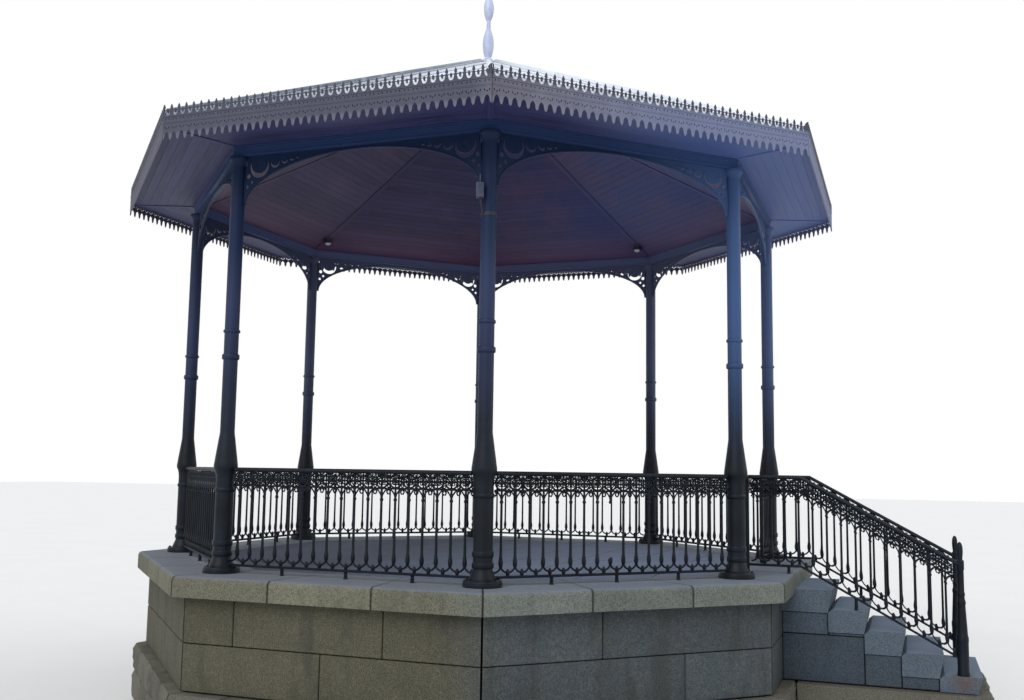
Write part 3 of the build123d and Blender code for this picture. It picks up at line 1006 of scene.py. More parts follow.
@dataclass(frozen=True)
class VarnishedBoards:
    """Boards of reddish softwood under old varnish, with a colour for low places and painted sky light for
    open places.
    """

    name: str
    pale: Colour
    dark: Colour
    warm: Colour | None = None
    warm_levels: Point = (6.05, 5.7)
    # Painted sky light towards the open side, where it reaches and how strong it is
    cool: Colour | None = None
    cool_reach: Point = (0.5, -2.6)
    cool_share: float = 0.6
    knot: Colour = tint(34, 20, 22)

    def material(self) -> Material:
        """Build the boards' nodes.

        Returns:
            The material.
        """
        sheet = NodeSheet(self.name)
        grain = sheet.attribute("grain", "Vector")
        fibres = sheet.noise(1.0, 5.0, 0.65, sheet.stretch((2.5, 70, 70), grain))
        rings = sheet.noise(1.0, 2.0, 0.5, sheet.stretch((0.9, 16, 16), grain))
        colour = sheet.mix(sheet.ramp(fibres, 0.3, 0.7), self.dark, self.pale)
        colour = sheet.shade(colour, rings, 0.22)
        colour = sheet.shade(colour, sheet.tone(), 0.16)
        colour = sheet.shade(colour, sheet.noise(1.1, 4.0, 0.6), 0.25)
        # Painted sky light towards the open side
        if self.cool:
            colour = sheet.cover(colour, self.cool, sheet.along("Y", *self.cool_reach), self.cool_share)
        if self.warm:
            low = sheet.times(sheet.along("Z", *self.warm_levels), 0.5)
            worn = sheet.times(sheet.ramp(sheet.noise(0.9, 4.0, 0.6), 0.46, 0.66), 0.3)
            colour = sheet.mix(sheet.math("MAXIMUM", low, worn), colour, self.warm)
        knots = sheet.ramp(sheet.cells(1.0, sheet.stretch((1.6, 7, 7), grain)), 0.09, 0.03)
        colour = sheet.cover(colour, self.knot, knots, 0.6)
        sheet.relief(fibres, 0.3, 0.0015)
        return sheet.done(colour, sheet.between(rings, 0.46, 0.66), Specular_IOR_Level=0.25)


@dataclass(frozen=True)
class WeatheredMetal:
    """Sheet or cast metal gone dull, with stains that run down and painted shade on the side away from the
    steps.
    """

    name: str
    body: Colour
    bloom: Colour
    stain: Colour
    shine: float = 0.0
    rough: float = 0.55
    # Painted shade on the side away from the steps, and where it begins
    painted_shade: Colour | None = None
    painted_shade_reach: Point = (-0.9, 0.7)

    def material(self) -> Material:
        """Build the metal's nodes.

        Returns:
            The material.
        """
        sheet = NodeSheet(self.name)
        colour = sheet.mix(sheet.ramp(sheet.noise(2.6, 6.0, 0.65), 0.35, 0.7), self.body, self.bloom)
        # Painted shade on the side away from the steps
        if self.painted_shade:
            colour = sheet.cover(colour, self.painted_shade, sheet.along("Y", *self.painted_shade_reach), 0.85)
        runs = sheet.noise(1.0, 5.0, 0.6, sheet.stretch((9, 9, 1.5)))
        colour = sheet.cover(colour, self.stain, sheet.ramp(runs, 0.52, 0.75), 0.6)
        colour = sheet.shade(colour, sheet.noise(30, 5.0, 0.7), 0.22)
        sheet.relief(sheet.noise(45, 4.0), 0.3, 0.001)
        rough = sheet.between(sheet.noise(6, 4.0), self.rough - 0.1, self.rough + 0.12)
        return sheet.done(colour, rough, Metallic=self.shine, Specular_IOR_Level=0.4)


@dataclass(frozen=True)
class FasciaPaint:
    """Old paint on the cast fascia: dark and dirty on the cresting, pale on the pendants, with painted sky
    light towards the steps and painted shade away from them.
    """

    name: str = "fascia_paint"
    band: Colour = tint(96, 95, 109)
    bloom: Colour = tint(110, 110, 125)
    pendant: Colour = tint(120, 119, 135)
    cresting: Colour = tint(62, 64, 78)
    stain: Colour = tint(86, 76, 80)
    # Painted shade away from the steps, and painted sky light towards them
    painted_shade: Colour = tint(64, 66, 82)
    sky_light: Colour = tint(108, 119, 153)
    band_levels: Point = (5.612, 5.78)

    def material(self) -> Material:
        """Build the paint's nodes.

        Returns:
            The material.
        """
        sheet = NodeSheet(self.name)
        low, high = self.band_levels
        colour = sheet.mix(sheet.ramp(sheet.noise(2.6, 6.0, 0.65), 0.35, 0.7), self.band, self.bloom)
        runs = sheet.noise(1.0, 5.0, 0.6, sheet.stretch((7, 7, 1.5)))
        colour = sheet.cover(colour, self.stain, sheet.ramp(runs, 0.50, 0.72), 0.65)
        # Painted sky light towards the steps, and painted shade away from them
        colour = sheet.cover(colour, self.sky_light, sheet.along("Y", -1.7, -3.2), 0.7)
        colour = sheet.cover(colour, self.painted_shade, sheet.along("Y", -1.75, -1.4), 0.85)
        ragged = sheet.plus(sheet.part(sheet.place, "Z"), sheet.times(sheet.noise(20, 3.0), 0.012))
        colour = sheet.cover(colour, self.pendant, sheet.ramp(ragged, low + 0.02, low - 0.02), 0.4)
        colour = sheet.mix(sheet.ramp(ragged, high, high + 0.03), colour, self.cresting)
        colour = sheet.shade(colour, sheet.noise(30, 5.0, 0.7), 0.22)
        sheet.relief(sheet.noise(45, 4.0), 0.3, 0.001)
        return sheet.done(colour, 0.66, Specular_IOR_Level=0.3)


@dataclass(frozen=True)
class Lens:
    """Pale moulded lamp glass with fine ribs."""

    name: str = "lamp_glass"
    pale: Colour = tint(196, 196, 200)
    dull: Colour = tint(160, 166, 178)

    def material(self) -> Material:
        """Build the glass's nodes.

        Returns:
            The material.
        """
        sheet = NodeSheet(self.name)
        colour = sheet.shade(sheet.mix(0.3, self.pale, self.dull), sheet.noise(40, 3.0), 0.2)
        ribs = sheet.add("ShaderNodeTexWave", {"Vector": sheet.place, "Scale": 90.0}).outputs["Fac"]
        sheet.relief(ribs, 0.5, 0.001)
        return sheet.done(colour, 0.25, Specular_IOR_Level=0.5, Coat_Weight=0.4)


class Finishes:
    """Every finish of the bandstand, built once."""

    def __init__(self) -> None:
        """Build the materials."""
        # The warm colours of wall and coping are painted shade with warmer light on the sides away from the
        # steps
        self.wall = Granite(
            "granite_wall", tint(74, 82, 86), tint(48, 55, 59), tint(46, 48, 46), lichen=tint(100, 102, 88),
            warm=(tint(92, 88, 70), tint(58, 57, 46)), warm_share=0.9,
        ).material()
        # The coping's and the steps' paler tops are painted highlight
        self.coping = Granite(
            # coursed: painted shade in the joints between the stones
            "granite_coping", tint(106, 112, 106), tint(74, 79, 76), tint(68, 68, 58), coursed=True,
            feldspar=tint(128, 118, 96),
            lichen=tint(120, 122, 100), lichen_share=0.5, stain_share=0.45, painted_light=tint(112, 121, 140),
            warm=(tint(116, 112, 88), tint(80, 78, 60)), warm_share=0.6,
        ).material()
        newel_feet = tuple((side * PLAN.railing, -PLAN.newel, PLAN.step_top(4) - 0.052) for side in (-1, 1))
        self.steps = Granite(
            "granite_steps", tint(88, 101, 114), tint(66, 78, 90), tint(58, 65, 72), stain_share=0.4,
            lichen=tint(104, 110, 108), rust_spots=newel_feet, painted_light=tint(102, 117, 137),
        ).material()
        self.cheek = Granite(
            "granite_cheek", tint(72, 84, 95), tint(46, 55, 65), tint(40, 45, 51), lichen=tint(86, 92, 90),
            feldspar=tint(92, 88, 84),
        ).material()
        self.footing = Granite(
            "granite_footing", tint(104, 102, 92), tint(70, 69, 64), tint(52, 49, 41), relief_depth=0.012,
            lichen=tint(116, 116, 92), lichen_share=0.5,
        ).material()
        self.rubble = Granite(
            "rubble_fill", tint(60, 57, 52), tint(42, 41, 38), tint(32, 30, 27), relief_depth=0.01
        ).material()
        self.paving = Flags().material()
        self.iron = PaintedIron().material()
        # The beam carries the same painted haze, shade and sky light as the columns, in paler and bluer
        # colours
        self.beam = PaintedIron(
            "painted_beam", tint(35, 52, 91), tint(43, 60, 99), tint(45, 53, 76), rust_share=0.12,
            shaded=tint(38, 57, 98), lit_top=tint(68, 80, 122), sky_lit=tint(57, 82, 128),
        ).material()
        # The cool colours of ceiling and soffit are painted sky light towards the open side
        self.ceiling = VarnishedBoards(
            "ceiling_boards", tint(61, 53, 90), tint(46, 41, 70), warm=tint(96, 65, 88),
            cool=tint(47, 64, 124), cool_reach=(1.6, -2.2), cool_share=0.8,
        ).material()
        self.soffit = VarnishedBoards(
            "soffit_boards", tint(60, 61, 105), tint(44, 45, 81), cool=tint(90, 113, 174),
            cool_reach=(-1.7, -3.3), cool_share=0.75,
        ).material()
        self.timber = VarnishedBoards("roof_timber", tint(84, 54, 48), tint(52, 34, 32)).material()
        # The darker colours of zinc and hips on the side away from the steps are painted shade
        self.zinc = WeatheredMetal(
            "zinc_sheet", tint(208, 214, 224), tint(222, 227, 234), tint(184, 190, 200), shine=0.1, rough=0.5,
            painted_shade=tint(112, 122, 138),
        ).material()
        self.hips = WeatheredMetal(
            "zinc_hips", tint(206, 212, 222), tint(220, 225, 232), tint(180, 186, 196), shine=0.1, rough=0.5,
            painted_shade=tint(52, 64, 88),
        ).material()
        self.finial = WeatheredMetal(
            "zinc_finial", tint(170, 178, 206), tint(192, 199, 222), tint(132, 138, 160), shine=0.15,
            rough=0.5,
        ).material()
        self.fascia = FasciaPaint().material()
        self.lamp_metal = WeatheredMetal(
            "lamp_housing", tint(30, 31, 42), tint(42, 43, 56), tint(22, 22, 28)
        ).material()
        self.lamp_body = WeatheredMetal(
            "lamp_body_paint", tint(60, 68, 88), tint(72, 80, 98), tint(48, 54, 66)
        ).material()
        self.glass = Lens().material()


# Podium
@dataclass
class Podium:
    """Granite podium: rough footing stones, wall slabs, coping, paving and the flight of steps.

    `seen_joints` gives the upright joints in the lower and the upper course of the two bays nearest the
    camera, as distances from the middle of the bay.
    """

    finishes: Finishes
    joint: float = 0.009
    arris: float = 0.006
    overlap: float = 0.1
    wall_thickness: float = 0.2
    bed: float = 1.02
    seen_joints: tuple[tuple[int, list[float], list[float]], ...] = (
        (6, [-0.04], [-0.92, 0.55]), (7, [0.5], [-0.33]),
    )
    footing_bed: float = 0.31
    footing_depth: float = 0.34
    flight_width: float = 1.45
    flight_front: float = 5.396
    flight_depth: float = 1.764
    stone_lengths: Point = (0.5, 0.8)
    least_length: float = 0.4
    rock_depth: float = 0.03
    rock_margin: float = 0.03
    cheek_half: float = 0.613
    cheek_bed: float = 1.05
    block_lap: float = 0.036
    seed: int = 7

    def build(self) -> None:
        """Build and dress the podium."""
        self.chance = random.Random(self.seed)
        self.wall()
        self.footing()
        self.cheeks()
        finish = self.finishes
        dress(finish.coping, "coping")
        dress(finish.steps, "steps")
        dress(finish.paving, "floor_slab")
        dress(finish.rubble, "podium_fill")

    def slab_joints(self, bay: int) -> tuple[list[float], list[float]]:
        """Places of the upright joints in the lower and the upper course of one bay.

        Args:
            bay: Number of the bay, counted from the steps.

        Returns:
            Distances from the middle of the bay, for the lower and the upper course.
        """
        for seen, lower, upper in self.seen_joints:
            if bay == seen:
                return lower, upper
        swing = self.chance.uniform(-0.25, 0.25)
        return [swing - 0.1], [swing - 0.55, swing + 0.6]

    def slab(self, name: str, low: Triple, high: Triple) -> Object:
        """Dressed stone with a shade of its own.

        Args:
            name: Name of the piece.
            low: Its lowest corner.
            high: Its highest corner.

        Returns:
            The stone, half a joint short of both corners along the wall and up.
        """
        gap = Vector((self.joint / 2, 0, self.joint / 2))
        stone = block(name, Vector(low) + gap, Vector(high) - gap, self.arris)
        return mark_tone(stone, self.chance.uniform(*TONES))

    def course(self, joints: Sequence[float], bottom: float, top: float) -> list[Object]:
        """One course of slabs along the first bay.

        Args:
            joints: Places of its upright joints.
            bottom: Level of its lower edge.
            top: Level of its upper edge.

        Returns:
            The slabs.
        """
        face = -PLAN.wall_apothem
        reach = PLAN.half_side(PLAN.wall_apothem) + self.overlap
        ends = [-reach, *joints, reach]
        return [
            self.slab("slab", (left, face, bottom), (right, face + self.wall_thickness, top))
            for left, right in zip(ends, ends[1:])
        ]

    def wall(self) -> None:
        """Wall slabs in two courses around the octagon, mitred at the corners."""
        sides = []
        for bay in range(PLAN.sides):
            lower, upper = self.slab_joints(bay)
            slabs = self.course(lower, PLAN.footing_top, self.bed)
            slabs += self.course(upper, self.bed, PLAN.wall_top)
            side = mitre(join("wall_side", slabs), self.joint)
            side.data.transform(PLAN.bay_turn(bay))
            sides.append(side)
        hand_over(join("wall_slabs", sides), Slot.GRANITE, self.finishes.wall, "podium_wall")

    def rough(self, stone: Object) -> Object:
        """Break the flat faces of a stone: its outer face is divided and knocked about.

        Args:
            stone: The stone, which faces -Y.

        Returns:
            The same stone.
        """
        with editing(stone):
            bpy.ops.mesh.subdivide(number_cuts=5)
        front = min(vertex.co.y for vertex in stone.data.vertices)
        xs = [vertex.co.x for vertex in stone.data.vertices]
        zs = [vertex.co.z for vertex in stone.data.vertices]
        for vertex in stone.data.vertices:
            place = vertex.co
            if place.y > front + 0.001:
                continue
            inside = min(place.x - min(xs), max(xs) - place.x, place.z - min(zs), max(zs) - place.z)
            hollow = 0.0 if inside > self.rock_margin else self.rock_depth
            place.y += hollow + self.chance.uniform(0, 0.5) * self.rock_depth
        return stone

    def stones(self, width: float, front: float, depth: float) -> list[Object]:
        """Two courses of rough stones that face -Y, from the ground to the top of the footing.

        Args:
            width: Length of the courses.
            front: Distance of their face from the middle of the octagon.
            depth: How deep the stones are.

        Returns:
            The stones.
        """
        made = []
        for bottom, top in ((0.0, self.footing_bed), (self.footing_bed, PLAN.footing_top)):
            start = -width / 2
            while start < width / 2 - 0.01:
                length = self.chance.uniform(*self.stone_lengths)
                end = width / 2 if width / 2 - start - length < self.least_length else start + length
                low = (start + self.joint, -front, bottom)
                high = (end - self.joint, depth - front, top - self.joint)
                stone = self.rough(block("stone", low, high))
                made.append(mark_tone(stone, self.chance.uniform(*TONES)))
                start = end
        return made

    def footing(self) -> None:
        """Two courses of rough stones under the wall, and the same under the flight."""
        sides = []
        width = 2 * PLAN.half_side(PLAN.footing_apothem) + self.overlap
        for bay in range(PLAN.sides):
            courses = self.stones(width, PLAN.footing_apothem, self.footing_depth)
            side = mitre(join("footing_side", courses), self.joint)
            side.data.transform(PLAN.bay_turn(bay))
            sides.append(side)
        sides += self.stones(self.flight_width, self.flight_front, self.flight_depth)
        piece = smooth(join("footing_stones", sides), 25)
        hand_over(piece, Slot.ROUGH_STONE, self.finishes.footing, "footing")

    def cheeks(self) -> None:
        """Masonry under the step blocks, in slabs that show at both sides of the flight."""
        half, bed, base, back = self.cheek_half, self.cheek_bed, PLAN.footing_top, PLAN.wall_apothem
        noses = [PLAN.nose(step) for step in range(4)]
        tops = [PLAN.step_top(step + 1) - self.block_lap for step in range(4)]
        gap = self.joint / 2
        made = []
        for start, end, bottom, top in (
            (back, noses[1], base, bed), (noses[1], noses[2], base, tops[2]),
            (noses[2], noses[3], base, tops[3]),
            (back, noses[0], bed, tops[0]), (noses[0], noses[1], bed, tops[1]),
        ):
            made.append(self.slab("cheek", (-half - gap, gap - end, bottom), (half + gap, -start - gap, top)))
        hand_over(join("stair_cheeks", made), Slot.GRANITE, self.finishes.cheek, "stair_base")


# Balustrades
@dataclass
class Lattice:
    """Cast lattice: balusters with forked feet below and a row of crossed rings above."""

    pitch: float = 0.134
    rail_top: float = 0.97
    rail_depth: float = 0.04
    rail_width: float = 0.056
    rail_bar: float = 0.028
    rail_round: float = 0.016
    fillet_half: float = 0.019
    low_rail: float = 0.062
    low_rail_depth: float = 0.024
    low_rail_half: float = 0.012
    chamfer: float = 0.004
    foot: float = 0.148
    neck: float = 0.262
    break_height: float = 0.224
    arch_spring: float = 0.715
    arch_top: float = 0.804
    ring_centre: float = 0.867
    ring_radius: float = 0.0575
    petal_reach: float = 0.025
    petal_radius: float = 0.013
    petal_rod: float = 0.0055
    gap_levels: Point = (0.826, 0.908)
    gap_radius: float = 0.0115
    gap_rod: float = 0.0058
    link_rod: float = 0.0088
    rod: float = 0.0078
    stout_rod: float = 0.0093

    def foot_profile(self) -> list[Point]:
        """Lower part of a baluster, up to where its bulb has narrowed.

        Returns:
            Radius and height of each ring.
        """
        foot, neck = self.foot, self.neck
        return [
            (0.006, foot - 0.004), (0.013, foot + 0.006), (0.0185, foot + 0.024), (0.0205, foot + 0.046),
            (0.0180, foot + 0.070), (0.0135, neck - 0.018), (0.0125, neck + 0.006),
        ]

    def head_profile(self) -> list[Point]:
        """Upper part of a baluster, from under its arch to the crossed ring.

        Returns:
            Radius and height of each ring.
        """
        spring = self.arch_spring
        return [
            (0.0108, spring - 0.022), (0.016, spring - 0.015), (0.016, spring), (0.0105, spring + 0.006),
            (0.0095, self.ring_centre - self.ring_radius),
        ]

    def baluster(self) -> Object:
        """One baluster, swollen over its foot and ringed under its arch."""
        shaft = [(0.0122, 0.3), (0.0115, 0.48)]
        return turned("baluster", [*self.foot_profile(), *shaft, *self.head_profile()], 10)

    def stub(self) -> Object:
        """What is left of a baluster whose shaft has broken off.

        Returns:
            Its foot, with a jagged break, and its head.
        """
        foot = turned("stub", self.foot_profile(), 10)
        cut(foot, Vector((0, 0, self.break_height)), Vector((0.5, 0.2, 1)))
        cut(foot, Vector((0.006, 0, self.break_height - 0.002)), Vector((-0.7, 0.1, 1)))
        return join("stub", [foot, turned("stub_head", self.head_profile(), 10)])

    def fork(self) -> Object:
        """Two legs that drop from a baluster's bulb and curve out to the middles of the gaps."""
        bow = arc((self.pitch / 2, self.foot + 0.024), self.pitch / 2, 180, 270, 5, 0.9)
        return rods("fork", [mirrored(bow), bow], self.stout_rod, 1)

    def bud(self) -> Object:
        """Solid bud on the lower rail between two balusters, under the meeting of their legs.

        Returns:
            The bud, half a pitch to the right of its baluster.
        """
        base = self.low_rail + self.low_rail_depth
        profile = (
            (0.012, base - 0.004), (0.018, base + 0.010), (0.0185, base + 0.028), (0.014, base + 0.044),
            (0.004, base + 0.056),
        )
        return turned("bud", profile, 8, (self.pitch / 2, 0, 0))

    def arches(self) -> Object:
        """Pointed arch halves from a baluster to the middles of the gaps, each with a small drop.

        Returns:
            The halves at both sides of the baluster.
        """
        reach, spring, top = self.pitch / 2, self.arch_spring, self.arch_top
        rise = top - spring
        bow = [(0, spring), (0.010, spring + 0.42 * rise), (0.032, spring + 0.78 * rise), (reach, top)]
        drop = [(reach, top - 0.004), (reach - 0.018, top - 0.03), (reach - 0.004, top - 0.05)]
        return rods("arches", [mirrored(bow), mirrored(drop), bow, drop], self.rod)

    def crossed_ring(self) -> Object:
        """Ring under the handrail with a cross in it, and four petals around the middle of the cross.

        Returns:
            The ring over its baluster.
        """
        centre = (0.0, self.ring_centre)
        ring = rods("ring", [circle(centre, self.ring_radius, 16)], self.stout_rod, closed=True)
        inner = 0.98 * self.ring_radius
        lines = [
            [(-across, self.ring_centre - up), (across, self.ring_centre + up)]
            for across, up in ((inner, 0.0), (0.0, inner))
        ]
        cross = rods("cross", lines, self.rod)
        middles = arc(centre, self.petal_reach, 45, 315, 3)
        flower = [circle(middle, self.petal_radius, 6) for middle in middles]
        return join("crossed_ring", [ring, cross, rods("petals", flower, self.petal_rod, closed=True)])

    def link(self) -> Object:
        """Thin rail at the feet of the rings, and the small rings that fill the gap between two of them.

        Returns:
            The rail of one pitch with its rings.
        """
        reach = self.pitch / 2
        rail = rods("link_rail", [[(-reach, self.arch_top), (reach, self.arch_top)]], self.link_rod)
        rings = [circle((reach, level), self.gap_radius, 8) for level in self.gap_levels]
        return join("link", [rail, rods("gap_ring", rings, self.gap_rod, closed=True)])

    def run(self, name: str, first: float, count: int, broken: int | None = None) -> Object:
        """A straight run of the lattice without its rails.

        Args:
            name: Name of the piece.
            first: Place of its first baluster.
            count: Number of balusters.
            broken: Number of the baluster, from 0, that has lost its shaft.

        Returns:
            The run, with x along it and z up from the floor.
        """
        cells = [self.fork(), self.bud(), self.arches(), self.crossed_ring(), self.link()]
        parts = [row(join(name, cells), count, self.pitch)]
        parts.append(row(self.baluster(), count if broken is None else broken, self.pitch))
        if broken is not None:
            parts.append(move(self.stub(), x=broken * self.pitch))
            rest = row(self.baluster(), count - broken - 1, self.pitch)
            parts.append(move(rest, x=(broken + 1) * self.pitch))
        return move(join(name, parts), x=first)

    def handrail(self, start: float, end: float) -> Object:
        """Moulded handrail: a bar with a rounded back and a fillet below.

        Args:
            start: Place of its left end.
            end: Place of its right end.

        Returns:
            The handrail along X.
        """
        top = self.rail_top
        half = self.rail_width / 2
        body = block("handrail", (start, -half, top - self.rail_bar), (end, half, top))
        with editing(body, whole=False):
            mesh = bmesh.from_edit_mesh(body.data)
            for edge in mesh.edges:
                high = all(vertex.co.z > top - 0.001 for vertex in edge.verts)
                along = abs(edge.verts[0].co.x - edge.verts[1].co.x) > 0.01
                edge.select_set(high and along)
            bmesh.update_edit_mesh(body.data)
            bpy.ops.mesh.bevel(offset=self.rail_round, segments=3, affect="EDGES")
        low = (start, -self.fillet_half, top - self.rail_depth)
        fillet = block("fillet", low, (end, self.fillet_half, top - self.rail_bar + 0.001), self.chamfer)
        return smooth(join("handrail", [body, fillet]))

    def lower_rail(self, start: float, end: float) -> Object:
        """Lower rail with chamfered edges.

        Args:
            start: Place of its left end.
            end: Place of its right end.

        Returns:
            The rail along X.
        """
        low = (start, -self.low_rail_half, self.low_rail)
        high = (end, self.low_rail_half, self.low_rail + self.low_rail_depth)
        return block("lower_rail", low, high, self.chamfer)

    def leg(self, place: float, bottom: float = 0.0, top: float | None = None) -> Object:
        """Short turned leg under the lower rail.

        Args:
            place: Where it stands along X.
            bottom: Level of its foot.
            top: Level of its head, if not just inside a level rail.

        Returns:
            The leg.
        """
        head = self.low_rail + 0.006 if top is None else top
        profile = (
            (0.021, bottom), (0.021, bottom + 0.008), (0.015, bottom + 0.016), (0.0175, bottom + 0.03),
            (0.015, head - 0.014), (0.019, head - 0.008), (0.019, head),
        )
        return turned("leg", profile, 10, (place, 0, 0))


@dataclass
class Balustrades:
    """Seven bays of balustrade, and the short panels beside the entrance."""

    finishes: Finishes
    lattice: Lattice
    end_gap: float = 0.166
    bell_half: float = 1.195
    flare_half: float = 1.22
    entrance_half: float = 0.59
    broken_bay: int = 7
    broken_baluster: int = 8

    def spots(self) -> list[float]:
        """Places of the balusters along a bay."""
        count = round((PLAN.bay - 2 * self.end_gap) / self.lattice.pitch) + 1
        return [self.end_gap - PLAN.bay / 2 + index * self.lattice.pitch for index in range(count)]

    def build(self) -> None:
        """Build the bays, the whole ones first, and the panels beside the entrance."""
        whole = [bay for bay in range(1, PLAN.sides) if bay != self.broken_bay]
        for bays, broken in ((whole, None), ([self.broken_bay], self.broken_baluster)):
            places = [(f"lattice_bay_{bay}", f"balustrade_{bay}", PLAN.bay_turn(bay)) for bay in bays]
            hand_out(self.panel(broken), self.finishes.iron, places)
        self.returns()

    def panel(self, broken: int | None) -> Object:
        """One bay of balustrade, placed in the first bay.

        Args:
            broken: Number of the baluster that has lost its shaft, if one has.

        Returns:
            The lattice with its rails and legs.
        """
        spots = self.spots()
        parts = [self.lattice.run("bay_run", spots[0], len(spots), broken)]
        parts.append(self.lattice.handrail(-self.bell_half, self.bell_half))
        parts.append(self.lattice.lower_rail(-self.flare_half, self.flare_half))
        parts += [self.lattice.leg(place * PLAN.bay / 4) for place in (-1, 0, 1)]
        return move(join("bay_panel", parts), y=-PLAN.column_apothem, z=PLAN.floor)

    def returns(self) -> None:
        """Short panels from the columns beside the entrance to the stair railings."""
        inner = self.entrance_half
        spots = [spot for spot in self.spots() if spot > inner + 0.02]
        parts = [self.lattice.run("return_run", spots[0], len(spots))]
        parts.append(self.lattice.handrail(inner - 0.01, self.bell_half))
        parts.append(self.lattice.lower_rail(inner, self.flare_half))
        panel = move(join("return", parts), y=-PLAN.column_apothem, z=PLAN.floor)
        pair = copies("lattice_returns", panel, (Matrix.Identity(4), Matrix.Scale(-1, 4, (1, 0, 0))))
        hand_over(pair, Slot.IRON, self.finishes.iron, "return_panels")


@dataclass
class StairRailings:
    """Railings of the flight: level over the coping, then down with the steps to a newel."""

    finishes: Finishes
    lattice: Lattice
    level_end: float = 3.6754
    level_leg: float = 3.5554
    step_leg: float = 4.188
    post_half: float = 0.02
    count: int = 14

    def fall(self, distance: float) -> float:
        """How far the railing has come down at a distance from the middle."""
        return max(0.0, distance - self.level_end) * PLAN.riser / PLAN.tread

    def bend(self, piece: Object) -> Object:
        """Bring a level piece down with the steps, after a cut where the slope begins.

        Args:
            piece: The level piece along X.

        Returns:
            The same piece.
        """
        with editing(piece):
            bpy.ops.mesh.bisect(plane_co=(self.level_end, 0, 0), plane_no=(1, 0, 0))
        for vertex in piece.data.vertices:
            vertex.co.z -= self.fall(vertex.co.x)
        return piece

    def legs(self) -> list[Object]:
        """The leg on the coping, and the one on the second step.

        Returns:
            Both legs.
        """
        head = self.lattice.low_rail + 0.01 - self.fall(self.step_leg)
        low_leg = self.lattice.leg(self.step_leg, PLAN.step_top(1) - PLAN.floor, head)
        return [self.lattice.leg(self.level_leg), low_leg]

    def build(self) -> None:
        """Build one railing and copy it to both sides of the flight."""
        start = PLAN.column_apothem
        lattice, half = self.lattice, self.post_half
        sloped = [lattice.run("stair_run", PLAN.newel - self.count * lattice.pitch, self.count)]
        sloped.append(lattice.handrail(start - lattice.rail_width / 2, PLAN.newel))
        sloped.append(lattice.lower_rail(start, PLAN.newel))
        parts = [self.bend(join("stair_lattice", sloped)), *self.legs()]
        high = (start + half, half, lattice.rail_top - 0.03)
        parts.append(block("corner_post", (start - half, -half, 0), high, lattice.chamfer))
        parts.append(self.newel_post(PLAN.step_top(4) - PLAN.floor))
        turn = Matrix.Rotation(-math.pi / 2, 4, "Z")
        places = []
        for name, place in (("left", -PLAN.railing), ("right", PLAN.railing)):
            matrix = Matrix.Translation((place, 0, PLAN.floor)) @ turn
            places.append((f"stair_lattice_{name}", f"stair_railing_{name}", matrix))
        hand_out(join("stair_railing", parts), self.finishes.iron, places)

    def newel_post(self, foot: float) -> Object:
        """Round newel on the last step: a thick foot, a shaft with rings and a spire.

        Args:
            foot: Level of its foot over the floor.

        Returns:
            The newel.
        """
        top = self.lattice.rail_top - self.fall(PLAN.newel) + 0.02
        lower = (
            (0.055, 0.0), (0.055, 0.03), (0.051, 0.045), (0.0525, 0.30), (0.055, 0.32), (0.055, 0.35),
            (0.049, 0.37), (0.046, 0.43), (0.036, 0.62), (0.035, 0.65), (0.039, 0.66), (0.039, 0.68),
            (0.032, 0.70), (0.030, 0.73), (0.034, 0.74), (0.034, 0.755), (0.029, 0.77),
        )
        upper = (
            (0.029, -0.09), (0.034, -0.08), (0.034, 0.0), (0.022, 0.010), (0.022, 0.025), (0.0265, 0.065),
            (0.0275, 0.10), (0.0245, 0.14), (0.015, 0.166), (0.003, 0.176),
        )
        profile = [(radius, foot + level) for radius, level in lower]
        profile += [(radius, top + level) for radius, level in upper]
        return turned("newel", profile, 20, (PLAN.newel, 0, 0))


